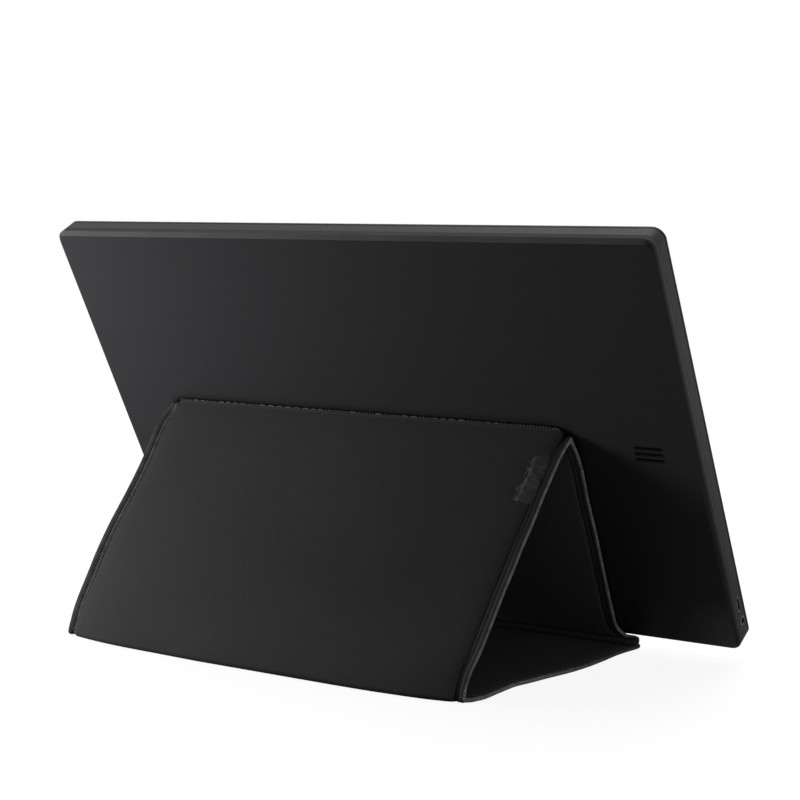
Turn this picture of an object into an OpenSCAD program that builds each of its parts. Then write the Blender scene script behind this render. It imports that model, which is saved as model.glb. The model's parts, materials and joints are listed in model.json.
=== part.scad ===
// Portable monitor leaning on its folding fabric cover.
// Row frame: X along the screen's width, the screen faces -Y and leans back, +Z up.
// Origin: middle of the base panel's underside, on the monitor's centre plane.
// Monitor frame: y = 0 on the back face, -y towards the viewer, z = 0 at the lower edge.

/* [Monitor] */
// Width of the case beside the picture, at each side
side_border = 18.9; // [17:0.1:24]
// Height of the case above the picture
top_border = 21; // [18:0.5:26]
// Thickness from the screen face to the back face
mon_t = 15; // [14.6:0.1:18]
// Angle by which the screen leans back from upright
lean = 29.6; // [22:0.2:34]
// Radius of the four corners seen from the front
corner_r = 6.5; // [4:0.5:12]
// Bevel round the back face
back_bevel = 2.2; // [1:0.1:2.6]
// Bevel round the screen face
front_bevel = 1; // [0.4:0.1:1.4]
// Wall of the plastic shells
wall = 1.8; // [1.4:0.1:2.2]
// Distance of the seam between the shells from the back face
seam_back = 5.4; // [4.6:0.1:5.6]
// Open gap at the seam
seam_gap = 0.15; // [0.1:0.05:0.4]
// Depth of the shadow groove round the bezel's sides
groove_d = 0.5; // [0.2:0.1:0.8]
// Width of the shadow groove
groove_w = 0.6; // [0.3:0.1:1]
// Distance of the shadow groove from the front face
groove_front = 2.2; // [1.8:0.1:3]
// Thickness of the skirt that locates the back cover in the bezel
skirt_t = 1; // [0.8:0.1:1.4]
// Length of the skirt past the seam
skirt_len = 2; // [1:0.1:2.6]
// Clearance between parts that slip into each other
slip = 0.15; // [0.1:0.05:0.3]

/* [Display] */
// Width of the active picture
view_w = 344.2; // [330:0.1:350]
// Height of the active picture
view_h = 193.5; // [185:0.1:197]
// Height of the picture's lower edge above the monitor's lower edge
view_up = 35.5; // [33:0.5:38]
// Thickness of the bezel face
face_t = 1.6; // [1.2:0.1:2]
// Thickness of the foam gasket
gasket_t = 0.4; // [0.2:0.1:0.6]
// Width of the foam gasket
gasket_w = 2.2; // [1.5:0.1:2.6]
// Border of the display cell round the picture
cell_border = 3.2; // [3:0.1:5]
// Thickness of the display cell
cell_t = 1.2; // [0.8:0.1:1.4]
// Thickness of the diffuser sheet
diffuser_t = 0.5; // [0.3:0.1:0.6]
// Thickness of the light guide
guide_t = 2.2; // [1.6:0.1:2.4]
// Thickness of the reflector sheet
reflector_t = 0.3; // [0.2:0.1:0.4]
// Height of the slot for the LED bar under the light guide
led_slot = 3; // [2.4:0.1:4]
// Thickness of the LED bar
led_t = 1.6; // [1:0.1:2]
// Sheet thickness of the pressed tray
tray_t = 0.6; // [0.4:0.1:0.8]
// Clearance of the sheets inside the tray
tray_clear = 0.4; // [0.2:0.1:0.8]
// Size of the tray's screw ears
ear = 9; // [7:0.5:9.5]

/* [Boards] */
// Thickness of the circuit boards
board_t = 1.2; // [0.8:0.1:1.3]
// Width of the main board
main_w = 90; // [70:1:110]
// Height of the main board
main_h = 70; // [58:1:90]
// Height of the main board above the lower edge
main_up = 9; // [8:0.5:10]
// Gap between the main board's side and the case
main_side = 2; // [1:0.5:4]
// Clear space between the tray and the main board
post_h = 1.6; // [1.4:0.1:1.8]
// Inset of the board screws from the board's corners
screw_inset = 6; // [5:0.5:8]
// Edge length of the processor
chip_w = 14; // [10:1:20]
// Height of the processor
chip_h = 1.2; // [0.8:0.1:1.6]
// Width of the screening can
can_w = 34; // [28:1:40]
// Height of the screening can off the board
can_h = 2.6; // [2.2:0.1:2.8]
// Sheet thickness of the screening can
can_t = 0.3; // [0.2:0.1:0.4]
// Distance from the display driver board's end to the first button
driver_gap = 14.3; // [12:0.1:20]
// Height of the display driver board
driver_h = 10; // [8:0.5:11]
// Thickness of the ribbon cable
ribbon_t = 0.3; // [0.2:0.1:0.4]
// Width of the ribbon cable
ribbon_w = 12; // [8:1:16]
// Length of the ribbon's level run past the main board's side
ribbon_run = 26; // [24:1:30]
// Height of the ribbon's level run above the tray's lower edge
ribbon_up = 20; // [14:1:26]
// Distance of the tray's screw ears from the tray's sides
ear_in = 40; // [30:1:50]
// Distance from the left ears to the driver board
driver_in = 12; // [10:1:14]
// Distance of the driver board's ribs from its ends
rib_in = 10; // [6:1:14]
// Distance of the main board's first screws inside the tray's side
post_in = 11.1; // [8:0.1:14]
// Radius of the screw shanks
shank_r = 0.9; // [0.8:0.05:0.9]
// Length of the screw shanks
shank_len = 3; // [2.6:0.1:3]
// Radius of the screw heads
head_r = 1.8; // [1.5:0.1:2]
// Height of the screw heads
head_h = 1; // [0.8:0.1:1.2]
// Radial clearance of a screw in its pilot hole
pilot_clear = 0.05; // [0.03:0.01:0.1]
// Radial clearance of a screw in a passage hole
pass_clear = 0.2; // [0.15:0.05:0.3]
// Radius of the screw posts
post_r = 2.4; // [2.2:0.1:2.8]

/* [Sockets and buttons] */
// Height of the data socket's centre above the lower edge
usb_up = 26; // [24:0.5:30]
// Length of the data socket's shell
usb_len = 7.5; // [6:0.5:9]
// Long side of the data socket's shell
usb_w = 8.9; // [8:0.1:9.4]
// Short side of the data socket's shell
usb_h = 3.2; // [2.8:0.1:3.4]
// Wall of the data socket's shell
usb_wall = 0.3; // [0.2:0.05:0.4]
// Height of the sound socket's centre above the lower edge
jack_up = 14.5; // [13.5:0.5:16]
// Bore radius of the sound socket
jack_r = 1.77; // [1.76:0.01:1.8]
// Bore depth of the sound socket
jack_depth = 11; // [9:0.5:12]
// Outer radius of the sound socket's nose
nose_r = 2.7; // [2.4:0.1:2.9]
// Height of the sound socket's body off the board
jack_h = 5; // [4.6:0.1:5.6]
// Length of the sound socket's body
jack_len = 12; // [11:0.5:14]
// Radius of the front buttons
button_r = 3.4; // [2.6:0.1:4]
// Height by which a button stands proud of the bezel
button_proud = 0.7; // [0.6:0.1:1]
// Travel of a button
button_travel = 0.5; // [0.3:0.1:0.5]
// Distance between the buttons
button_pitch = 20; // [14:1:22]
// Distance of the first button from the case's right side
button_side = 81; // [75:1:87]
// Height of the button row above the lower edge
button_up = 18; // [16:0.5:19]
// Height of the tact switches off their board
switch_h = 2; // [1.6:0.1:2.2]
// Edge length of a tact switch
switch_w = 4.6; // [4:0.1:6]
// Radius of the power light
light_r = 1; // [0.7:0.1:1.5]
// Distance from the last button to the power light
light_gap = 14; // [11:1:15]
// Length of the button board before the first button
board_lead = 14; // [12:1:16]
// Length of the button board past the power light
board_trail = 12; // [10:1:13]
// Inset of the button board's screws from its sides and lower edge
board_inset = 4; // [3.5:0.1:4.5]
// Distance of the button board's lower edge below the buttons' centres
board_drop = 7.5; // [7:0.1:8]

/* [Back details] */
// Length of the grooves in the back cover
mark_len = 15; // [10:0.5:20]
// Width of the grooves in the back cover
mark_w = 1.4; // [1:0.1:2]
// Depth of the grooves in the back cover
mark_d = 0.5; // [0.3:0.1:0.8]
// Distance between the grooves
mark_pitch = 3.6; // [3:0.1:5]
// Place of the grooves from the centre plane
mark_x = 163; // [150:1:170]
// Height of the middle groove above the lower edge
mark_up = 125.5; // [110:0.5:150]
// Thickness of the rubber feet
foot_t = 1.2; // [0.8:0.1:1.6]
// Running gap between the feet and the lip
foot_seat = 0.02; // [0.01:0.01:0.1]
// Depth of the rubber feet
foot_d = 2.8; // [2:0.1:3]
// Length of the rubber feet
foot_len = 40; // [20:1:60]
// Distance of the feet from the stand's centre
foot_x = 85; // [60:1:95]

/* [Cover] */
// Width of the cover panels
panel_w = 266; // [250:1:290]
// Sideways place of the folded cover from the monitor's centre
stand_x = 12.2; // [-20:0.2:20]
// Thickness of the outer fabric
fabric_t = 0.6; // [0.4:0.05:0.8]
// Thickness of the stiff board
stiff_t = 1.3; // [1:0.05:1.6]
// Thickness of the lining
lining_t = 0.6; // [0.4:0.05:0.8]
// Distance of the ridge fold from the monitor's lower edge
ridge_up = 137.5; // [125:0.5:150]
// Length of the rear panel from fold to fold
rear_len = 162; // [150:0.5:175]
// Reach of the base panel in front of the monitor's lower back edge
base_reach = 6.15; // [5.6:0.05:7]
// Gap between the leg panel and the monitor's back
leg_gap = 0.3; // [0.1:0.05:0.6]
// Width of the edge binding
binding_w = 5; // [3:0.5:8]
// Clearance round a fold's bead
fold_clear = 0.3; // [0.2:0.05:0.5]
// Radius of the rounded panel corners at the heel
heel_r = 4; // [2:0.5:4.5]
// Extra half-width of the base panel at its front edge
base_flare = 10.5; // [4:0.5:14]
// Amount by which the heel fold is shorter at its +X end
heel_in = 8; // [0:0.5:12]
// Corner radius of the base panel's front edge
base_r = 7; // [6:0.5:12]
// Radius where the leg panel runs out into the lip
leg_fillet = 5; // [3:0.5:6]
// Thickness of the lip under the monitor's edge
lip_t = 3.7; // [3:0.1:5]
// Depth of the lip from front to back
lip_d = 12; // [10:0.5:14]
// Step of the lip's ends inside the base panel's edge
lip_step = 0.6; // [0:0.1:1]
// Length of the cover's magnets
magnet_len = 24; // [14:1:30]
// Height of the magnets in the leg panel
magnet_h = 10; // [6:0.5:14]
// Depth of the magnets along the front edge
magnet_d = 6; // [4:0.5:7]
// Thickness of the lip's magnets
magnet_t = 2; // [1:0.1:2.4]
// Clearance round a magnet in its pocket
magnet_clear = 0.1; // [0.05:0.05:0.2]
// Distance of the magnets from the stand's centre
magnet_x = 90; // [60:1:105]
// Heights of the two magnet rows in the leg panel
magnet_rows = [30, 112]; // [0:1:140]
// Thickness of the keeper plates in the monitor
keeper_t = 0.5; // [0.3:0.1:0.8]
// Margin of a keeper plate round its magnet
keeper_margin = 3; // [1:0.5:5]
// Width of the sewn label
label_w = 10; // [6:0.5:16]
// Length of the sewn label
label_len = 30; // [15:1:40]
// Thickness of the sewn label
label_t = 0.4; // [0.3:0.05:0.6]
// Distance of the label from the ridge fold
label_down = 17; // [10:0.5:40]

/* [Hidden] */
$fn = 48;
eps = 0.01;

// Cover: panel thickness, folds and the closed triangle
panel_t = fabric_t + stiff_t + lining_t;
half_w = panel_w / 2;
bead_r = panel_t / 2;
lip_top = panel_t + lip_t;
leg_y = leg_gap + panel_t / 2;
mon_z = lip_top + foot_seat + foot_t * cos(lean) - back_bevel * sin(lean);
ridge_z = mon_z + ridge_up * cos(lean) - leg_y * sin(lean);
ridge_y = ridge_up * sin(lean) + leg_y * cos(lean);
heel_z = panel_t / 2;
heel_run = sqrt(rear_len * rear_len - pow(ridge_z - heel_z, 2));
rear_tilt = atan2(heel_run, ridge_z - heel_z);
ridge_angle = lean + rear_tilt;
heel_angle = 90 - rear_tilt;
// The monitor's lower back edge lies this far in front of the origin
base_len = ridge_y + heel_run + base_reach;
mon_y = -(ridge_y + heel_run - base_len / 2);
heel_y = mon_y + ridge_y + heel_run;
leg_bottom = (lip_top - mon_z + leg_y * sin(lean)) / cos(lean);
lip_half = half_w + base_flare - lip_step;

// Monitor: depths from the back face, all negative
seam_y = -seam_back;
bezel_y = seam_y - seam_gap;
face_y = -mon_t + face_t;
cell_y = face_y + gasket_t;
cell_back = cell_y + cell_t;
guide_y = cell_back + diffuser_t;
reflector_y = guide_y + guide_t;
tray_y = reflector_y + reflector_t;
tray_back = tray_y + tray_t;
main_y = tray_back + post_h;
main_back = main_y + board_t;

// Monitor: heights and widths inside the case
mon_w = view_w + 2 * side_border;
mon_h = view_up + view_h + top_border;
view_mid = view_up + view_h / 2;
cell_w = view_w + 2 * cell_border;
cell_h = view_h + 2 * cell_border;
tray_w = cell_w + 2 * (tray_clear + tray_t);
tray_h = cell_h + 2 * (tray_clear + tray_t);
tray_low = view_mid - tray_h / 2;
inner_w = mon_w - 2 * wall;
inner_h = mon_h - 2 * wall;
main_x = -inner_w / 2 + main_side;
driver_y = cell_back;
driver_up = tray_low - 2 - driver_h;
button_board_y = face_y + 4;
switch_front = button_board_y - switch_h;
button_x = mon_w / 2 - button_side;
board_len = board_lead + 2 * button_pitch + light_gap + board_trail;
board_x = button_x - board_lead;
board_low = button_up - board_drop;
board_high = tray_low - ear - tray_clear - board_low;
light_x = button_x + 2 * button_pitch + light_gap;
usb_y = main_y - usb_h / 2;
jack_y = main_y - jack_h / 2;
case_side = -mon_w / 2;

// Chosen places of the tray's screw ears: [x, height]
ear_x = tray_w / 2 - ear_in;
driver_x = -ear_x + driver_in;
driver_w = button_x - driver_gap - driver_x;
ear_spots = [
  for (x = [-ear_x, ear_x], top = [0, 1]) [x, top == 1 ? tray_low + tray_h + ear / 2 : tray_low - ear / 2]
];

// Places of the main board's screws: [x, height]
main_spots = [
  for (x = [-tray_w / 2 + post_in, main_x + main_w - screw_inset],
       z = [main_up + 4, main_up + main_h - screw_inset]) [x, z]
];

// Places of the button board's screws: [x, height]
button_spots = [
  for (x = [board_x + board_inset, board_x + board_len - board_inset]) [x, board_low + board_inset]
];

// Places of the leg panel's magnets: [x, height]
leg_magnet_spots = [for (x = [-magnet_x, magnet_x], z = magnet_rows) [x, z]];
edge_magnet_spots = [for (i = [-1, 0, 1]) i * magnet_x];

function button_at(i) = button_x + i * button_pitch;

// Distance from a fold's axis at which a layer starts, so that the fold's two sides stay apart
function fold_start(inner_depth, fold_angle) =
  max(bead_r, inner_depth / tan(fold_angle / 2)) + fold_clear;

// Half-widths of a panel at its heel and far ends: [on the -X side, on the +X side]
rear_sides = [[half_w, half_w], [half_w - heel_in, half_w]];
base_sides = [[half_w, half_w + base_flare], [half_w - heel_in, half_w + base_flare]];

// Points of an arc from one angle to another
function arc(cx, cz, r, a0, a1, steps = 8) =
  [for (i = [0:steps]) let (a = a0 + (a1 - a0) * i / steps) [cx + r * cos(a), cz + r * sin(a)]];

// ---- Frames ----------------------------------------------------------------

module on_monitor() {
  translate([0, mon_y, mon_z]) rotate([-lean, 0, 0]) children();
}

// z runs up the leg panel from the monitor's lower edge, y = 0 at mid-thickness, outer face -y
module on_leg() {
  on_monitor() translate([stand_x, leg_y, 0]) children();
}

// z runs up the rear panel from the heel fold, outer face +y
module on_rear() {
  translate([stand_x, heel_y, heel_z]) rotate([rear_tilt, 0, 0]) children();
}

// z runs from the heel fold to the front edge, outer (under) face -y
module on_base() {
  translate([stand_x, heel_y, heel_z]) rotate([90, 0, 0]) children();
}

// ---- Shared shapes ---------------------------------------------------------

// A drawing in X and Z that fills the depths y0 to y1
module slab(y0, y1) {
  translate([0, y1, 0]) rotate([90, 0, 0]) linear_extrude(height = y1 - y0) children();
}

module block(x0, x1, y0, y1, z0, z1) {
  translate([x0, y0, z0]) cube([x1 - x0, y1 - y0, z1 - z0]);
}

module rounded_rect(w, h, r) {
  square([w - 2 * r, h], center = true);
  square([w, h - 2 * r], center = true);
  for (x = [-1, 1], z = [-1, 1]) translate([x * (w / 2 - r), z * (h / 2 - r)]) circle(r = r);
}

// Rounded plate of thickness t standing on z = 0, with its top edge bevelled by b
module bevelled_plate(w, h, t, r, b) {
  linear_extrude(height = t - b) rounded_rect(w, h, r);
  for (x = [-1, 1], y = [-1, 1])
    translate([x * (w / 2 - r), y * (h / 2 - r), t - b]) cylinder(h = b, r1 = r, r2 = r - b);
  translate([-(w / 2 - r), 0, t - b]) rotate([90, 0, 90]) linear_extrude(height = w - 2 * r)
    polygon([[-h / 2, 0], [h / 2, 0], [h / 2 - b, b], [-h / 2 + b, b]]);
  translate([0, h / 2 - r, t - b]) rotate([90, 0, 0]) linear_extrude(height = h - 2 * r)
    polygon([[-w / 2, 0], [w / 2, 0], [w / 2 - b, b], [-w / 2 + b, b]]);
}

// Plate as above, standing in the monitor's frame, bevel towards the back
module plate_back(w, h, y0, y1, r, b) {
  translate([0, y0, mon_h / 2]) rotate([-90, 0, 0]) bevelled_plate(w, h, y1 - y0, r, b);
}

// Plate as above, bevel towards the screen side
module plate_front(w, h, y0, y1, r, b) {
  translate([0, y1, mon_h / 2]) rotate([90, 0, 0]) bevelled_plate(w, h, y1 - y0, r, b);
}

// Rounded block round the picture's centre
module view_block(w, h, y0, y1) {
  block(-w / 2, w / 2, y0, y1, view_mid - h / 2, view_mid + h / 2);
}

// Round bar along y from y0 to y1
module rod_y(x, z, r, y0, y1) {
  translate([x, y1, z]) rotate([90, 0, 0]) cylinder(h = y1 - y0, r = r);
}

// Screw that enters from the back, with its head on the plane y = seat
module screw(x, z, seat) {
  rod_y(x, z, head_r, seat, seat + head_h);
  rod_y(x, z, shank_r, seat - shank_len, seat + eps);
}

// Post that takes a screw
module post(x, z, y0, y1) {
  difference() {
    rod_y(x, z, post_r, y0, y1);
    rod_y(x, z, shank_r + pilot_clear, y1 - shank_len - 0.5, y1 + 1);
  }
}

// Stadium-shaped opening through the side wall, long side along z
module side_slot(y, z, long, short, x0, x1) {
  translate([x0, y, z]) rotate([90, 0, 90]) linear_extrude(height = x1 - x0) {
    square([short, long - short], center = true);
    for (s = [-1, 1]) translate([0, s * (long - short) / 2]) circle(d = short);
  }
}

// ---- Monitor ---------------------------------------------------------------

module back_cover() {
  color([0.13, 0.13, 0.14]) on_monitor() difference() {
    union() {
      difference() {
        plate_back(mon_w, mon_h, seam_y, 0, corner_r, back_bevel);
        plate_back(inner_w, inner_h, seam_y - 1, -wall, corner_r - wall, eps);
      }
      difference() {
        plate_back(inner_w - 2 * slip, inner_h - 2 * slip, seam_y - skirt_len, -wall + eps,
                   corner_r - wall, eps);
        plate_back(inner_w - 2 * slip - 2 * skirt_t, inner_h - 2 * slip - 2 * skirt_t,
                   seam_y - skirt_len - 1, -wall, corner_r - wall - skirt_t, eps);
      }
    }
    for (i = [-1, 0, 1]) translate([0, 0, i * mark_pitch]) groove();
    block(case_side + wall, case_side + wall + jack_len, seam_y - skirt_len - 1, -wall,
          jack_up - nose_r - 3, usb_up + usb_w / 2 + 2);
  }
}

// Short groove with round ends in the back face
module groove() {
  slab_y0 = -mark_d;
  translate([-mark_x, 0, mark_up]) slab(slab_y0, 1) {
    square([mark_len - mark_w, mark_w], center = true);
    for (s = [-1, 1]) translate([s * (mark_len - mark_w) / 2, 0]) circle(d = mark_w);
  }
}

module front_bezel() {
  color([0.1, 0.1, 0.11]) on_monitor() {
    difference() {
      plate_front(mon_w, mon_h, -mon_t, bezel_y, corner_r, front_bevel);
      plate_front(inner_w, inner_h, face_y, bezel_y + 1, corner_r - wall, eps);
      view_block(view_w + 1, view_h + 1, -mon_t - 1, face_y + 1);
      edge_groove();
      side_slot(usb_y, usb_up, usb_w + 2 * slip, usb_h + 2 * slip, case_side - 1,
                case_side + wall + 1);
      translate([case_side - 1, jack_y, jack_up]) rotate([0, 90, 0])
        cylinder(h = wall + 2, r = nose_r + slip);
      for (i = [0:2]) rod_y(button_at(i), button_up, button_r + slip, -mon_t - 1, face_y + 1);
      rod_y(light_x, button_up, light_r + slip / 2, -mon_t - 1, face_y + 1);
    }
    for (s = ear_spots) post(s[0], s[1], face_y - eps, tray_y);
    for (s = main_spots) if (s[1] < tray_low) post(s[0], s[1], face_y - eps, main_y);
    for (s = button_spots) post(s[0], s[1], face_y - eps, button_board_y);
    for (x = [driver_x + rib_in, driver_x + driver_w - rib_in])
      block(x - 1, x + 1, face_y - eps, driver_y, driver_up + 1, driver_up + driver_h - 1);
  }
}

// Shadow groove cut round the bezel's sides, close to its front face
module edge_groove() {
  groove_y = groove_front - mon_t;
  difference() {
    plate_back(mon_w + 2, mon_h + 2, groove_y, groove_y + groove_w, corner_r, eps);
    plate_back(mon_w - 2 * groove_d, mon_h - 2 * groove_d, groove_y - 1, groove_y + groove_w + 1,
               corner_r - groove_d, eps);
  }
}

module bezel_gasket() {
  color([0.05, 0.05, 0.05]) on_monitor() difference() {
    view_block(view_w + 1 + 2 * gasket_w, view_h + 1 + 2 * gasket_w, face_y, cell_y);
    view_block(view_w + 1, view_h + 1, face_y - 1, cell_y + 1);
  }
}

module lcd_cell() {
  color([0.03, 0.03, 0.04]) on_monitor() view_block(cell_w, cell_h, cell_y, cell_back);
}

module diffuser_sheet() {
  color([0.93, 0.93, 0.9]) on_monitor() view_block(cell_w, cell_h, cell_back, guide_y);
}

module light_guide() {
  color([0.85, 0.9, 0.92]) on_monitor()
    block(-cell_w / 2, cell_w / 2, guide_y, reflector_y,
          view_mid - cell_h / 2 + led_slot, view_mid + cell_h / 2);
}

module reflector_sheet() {
  color([0.95, 0.95, 0.95]) on_monitor() view_block(cell_w, cell_h, reflector_y, tray_y);
}

module led_bar() {
  led_low = view_mid - cell_h / 2 + (led_slot - led_t) / 2;
  color([0.9, 0.85, 0.6]) on_monitor()
    block(-view_w / 2, view_w / 2, guide_y + slip, reflector_y - slip, led_low, led_low + led_t);
}

module panel_chassis() {
  color([0.6, 0.61, 0.63]) on_monitor() difference() {
    union() {
      difference() {
        view_block(tray_w, tray_h, cell_back, tray_back);
        view_block(tray_w - 2 * tray_t, tray_h - 2 * tray_t, cell_back - 1, tray_y);
      }
      for (s = ear_spots)
        block(s[0] - ear / 2, s[0] + ear / 2, tray_y, tray_back,
              s[1] - ear / 2 - eps, s[1] + ear / 2 + eps);
      for (s = main_spots) if (s[1] > tray_low) rod_y(s[0], s[1], post_r, tray_back - eps, main_y);
    }
    for (s = ear_spots) rod_y(s[0], s[1], shank_r + pass_clear, tray_y - 1, tray_back + 1);
    for (s = main_spots) if (s[1] > tray_low)
      rod_y(s[0], s[1], shank_r + pilot_clear, tray_y + tray_t / 2, main_y + 1);
  }
}

module driver_board() {
  color([0.1, 0.35, 0.2]) on_monitor()
    block(driver_x, driver_x + driver_w, driver_y, driver_y + board_t, driver_up,
          driver_up + driver_h);
}

module main_board() {
  color([0.1, 0.35, 0.2]) on_monitor() difference() {
    block(main_x, main_x + main_w, main_y, main_back, main_up, main_up + main_h);
    for (s = main_spots) rod_y(s[0], s[1], shank_r + pass_clear, main_y - 1, main_back + 1);
  }
}

module main_chip() {
  color([0.08, 0.08, 0.09]) on_monitor() translate([main_x + main_w / 2, 0, main_up + main_h / 2])
    block(-chip_w / 2, chip_w / 2, main_back, main_back + chip_h, -chip_w / 2, chip_w / 2);
}

module shield_can() {
  color([0.75, 0.75, 0.76]) on_monitor() translate([main_x + main_w / 2, 0, main_up + main_h / 2])
    difference() {
      block(-can_w / 2, can_w / 2, main_back, main_back + can_h, -can_w / 2, can_w / 2);
      block(-can_w / 2 + can_t, can_w / 2 - can_t, main_back - 1, main_back + can_h - can_t,
            -can_w / 2 + can_t, can_w / 2 - can_t);
    }
}

module board_screws() {
  color([0.7, 0.7, 0.7]) on_monitor() {
    for (s = main_spots) screw(s[0], s[1], main_back);
    for (s = button_spots) screw(s[0], s[1], button_board_y + board_t);
  }
}

module chassis_screws() {
  color([0.7, 0.7, 0.7]) on_monitor() for (s = ear_spots) screw(s[0], s[1], tray_back);
}

// Ribbon from the main board's front face, across the tray's back and down to the driver board
module display_cable() {
  cable_x = main_x + main_w - ribbon_w / 2;
  cable_z = tray_low + ribbon_up;
  cable_end = cable_x + ribbon_run;
  cable_low = driver_up + driver_h / 2;
  color([0.85, 0.8, 0.65]) on_monitor() {
    block(cable_x, cable_end, main_y - ribbon_t, main_y, cable_z, cable_z + ribbon_w);
    block(cable_end - ribbon_w, cable_end, main_y - ribbon_t, main_y, cable_low,
          cable_z + eps);
    block(cable_end - ribbon_w, cable_end, driver_y + board_t, main_y, cable_low,
          cable_low + ribbon_t);
  }
}

module usb_port() {
  tongue_w = usb_w - 2.2;
  color([0.72, 0.72, 0.74]) on_monitor() {
    difference() {
      side_slot(usb_y, usb_up, usb_w, usb_h, case_side + slip, case_side + slip + usb_len);
      side_slot(usb_y, usb_up, usb_w - 2 * usb_wall, usb_h - 2 * usb_wall, case_side - 1,
                case_side + usb_len - 1);
    }
    block(case_side + 1, case_side + usb_len - 0.5, usb_y - 0.35, usb_y + 0.35,
          usb_up - tongue_w / 2, usb_up + tongue_w / 2);
  }
}

module audio_jack() {
  body_x = case_side + wall + slip;
  color([0.2, 0.2, 0.21]) on_monitor() difference() {
    union() {
      block(body_x, body_x + jack_len, jack_y - jack_h / 2, jack_y + jack_h / 2, jack_up - 3.4,
            jack_up + 3.4);
      translate([case_side + slip, jack_y, jack_up]) rotate([0, 90, 0])
        cylinder(h = wall + 1, r = nose_r);
    }
    translate([case_side - 1, jack_y, jack_up]) rotate([0, 90, 0])
      cylinder(h = jack_depth + slip + 1, r = jack_r);
  }
}

module button_board() {
  color([0.1, 0.35, 0.2]) on_monitor() difference() {
    block(board_x, board_x + board_len, button_board_y, button_board_y + board_t, board_low,
          board_low + board_high);
    for (s = button_spots)
      rod_y(s[0], s[1], shank_r + pass_clear, button_board_y - 1, button_board_y + board_t + 1);
  }
}

module tact_switches() {
  color([0.15, 0.15, 0.16]) on_monitor() for (i = [0:2]) translate([button_at(i), 0, button_up])
    block(-switch_w / 2, switch_w / 2, switch_front, button_board_y, -switch_w / 2, switch_w / 2);
}

// Cap with a flange behind the bezel and a stem that meets its switch after the travel
module front_button(i) {
  flange_y = face_y + slip;
  on_monitor() {
    rod_y(button_at(i), button_up, button_r, -mon_t - button_proud, flange_y + eps);
    rod_y(button_at(i), button_up, button_r + 1, flange_y, flange_y + 0.8);
    rod_y(button_at(i), button_up, 1.2, flange_y + 0.5, switch_front - button_travel - 0.1);
  }
}

module power_button() {
  color([0.16, 0.16, 0.17]) front_button(2);
}

module up_button() {
  color([0.16, 0.16, 0.17]) front_button(1);
}

module down_button() {
  color([0.16, 0.16, 0.17]) front_button(0);
}

module light_pipe() {
  color([0.8, 0.9, 1.0]) on_monitor() rod_y(light_x, button_up, light_r, -mon_t, button_board_y);
}

module steel_plates() {
  w = magnet_len + 2 * keeper_margin;
  h = magnet_h + 2 * keeper_margin;
  color([0.55, 0.55, 0.57]) on_monitor() for (s = leg_magnet_spots)
    block(stand_x + s[0] - w / 2, stand_x + s[0] + w / 2, -wall - keeper_t, -wall,
          s[1] - h / 2, s[1] + h / 2);
}

module rubber_feet() {
  color([0.06, 0.06, 0.06]) on_monitor() for (s = [-1, 1]) translate([stand_x + s * foot_x, 0, 0])
    block(-foot_len / 2, foot_len / 2, -back_bevel - foot_d, -back_bevel, -foot_t, 0);
}

// ---- Cover: outlines in each panel's own X and Z ---------------------------

// Leg panel: straight sides that run out in a fillet to the lip
module leg_outline(half, fillet, top) {
  low = leg_bottom - 6;
  right = arc(half + fillet, leg_bottom + fillet, fillet, 180, 270);
  pts = concat([[half + fillet, low]], [for (i = [len(right) - 1:-1:0]) right[i]], [[half, top]]);
  polygon(concat(pts, [for (i = [len(pts) - 1:-1:0]) [-pts[i][0], pts[i][1]]]));
}

// One edge of a panel from its low end z0 to its high end z1, with both corners rounded
function panel_edge(side, span, z0, z1, r0, r1, inset) =
  let (lean_out = (side[1] - side[0]) / span, a = atan(lean_out),
       x0 = side[0] + lean_out * z0 - inset, x1 = side[0] + lean_out * z1 - inset)
  concat(arc(x0 - r0 * (1 - sin(a)) / cos(a), z0 + r0, r0, -90, -a),
         arc(x1 - r1 * (1 + sin(a)) / cos(a), z1 - r1, r1, -a, 90));

module panel_outline(sides, span, z0, z1, r0, r1, inset) {
  left = panel_edge(sides[0], span, z0, z1, r0, r1, inset);
  right = panel_edge(sides[1], span, z0, z1, r0, r1, inset);
  polygon(concat(right, [for (i = [len(left) - 1:-1:0]) [-left[i][0], left[i][1]]]));
}

module rear_outline(inset, low, top, r) {
  panel_outline(rear_sides, rear_len, low, top, r, 1, inset);
}

module base_outline(inset, low, heel_round, front_round) {
  panel_outline(base_sides, base_len, low, base_len - inset, heel_round, front_round, inset);
}

// Depths of a layer: side is +1 where the outer face lies at +y, -1 where it lies at -y
module fabric_layer(side) {
  slab(side > 0 ? bead_r - fabric_t : -bead_r, side > 0 ? bead_r : -bead_r + fabric_t) children();
}

module stiff_layer(side) {
  low = -bead_r + lining_t;
  slab(side > 0 ? low : -low - stiff_t, side > 0 ? low + stiff_t : -low) children();
}

module lining_layer(side) {
  slab(side > 0 ? -bead_r : bead_r - lining_t, side > 0 ? -bead_r + lining_t : bead_r) children();
}

// Where each layer starts at a fold of the given angle
function fabric_start(a) = fold_start(0, a);
function stiff_start(a) = fold_start(bead_r - lining_t, a);
function full_start(a) = fold_start(bead_r, a);

// ---- Cover: leg panel ------------------------------------------------------

// Cuts the leg panel's foot level with the top of the lip
module above_lip() {
  difference() {
    children();
    translate([-mon_w, mon_y - mon_t, lip_top - mon_t]) cube([2 * mon_w, 2 * mon_t, mon_t]);
  }
}

module leg_fabric() {
  color([0.12, 0.12, 0.13]) above_lip() on_leg() fabric_layer(-1)
    leg_outline(half_w - binding_w, leg_fillet, ridge_up - fabric_start(ridge_angle));
}

module leg_board() {
  color([0.35, 0.33, 0.3]) above_lip() on_leg() difference() {
    stiff_layer(-1)
      leg_outline(half_w - binding_w, leg_fillet, ridge_up - stiff_start(ridge_angle));
    for (s = leg_magnet_spots) magnet_block(s[0], s[1], magnet_clear, 1);
  }
}

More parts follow.
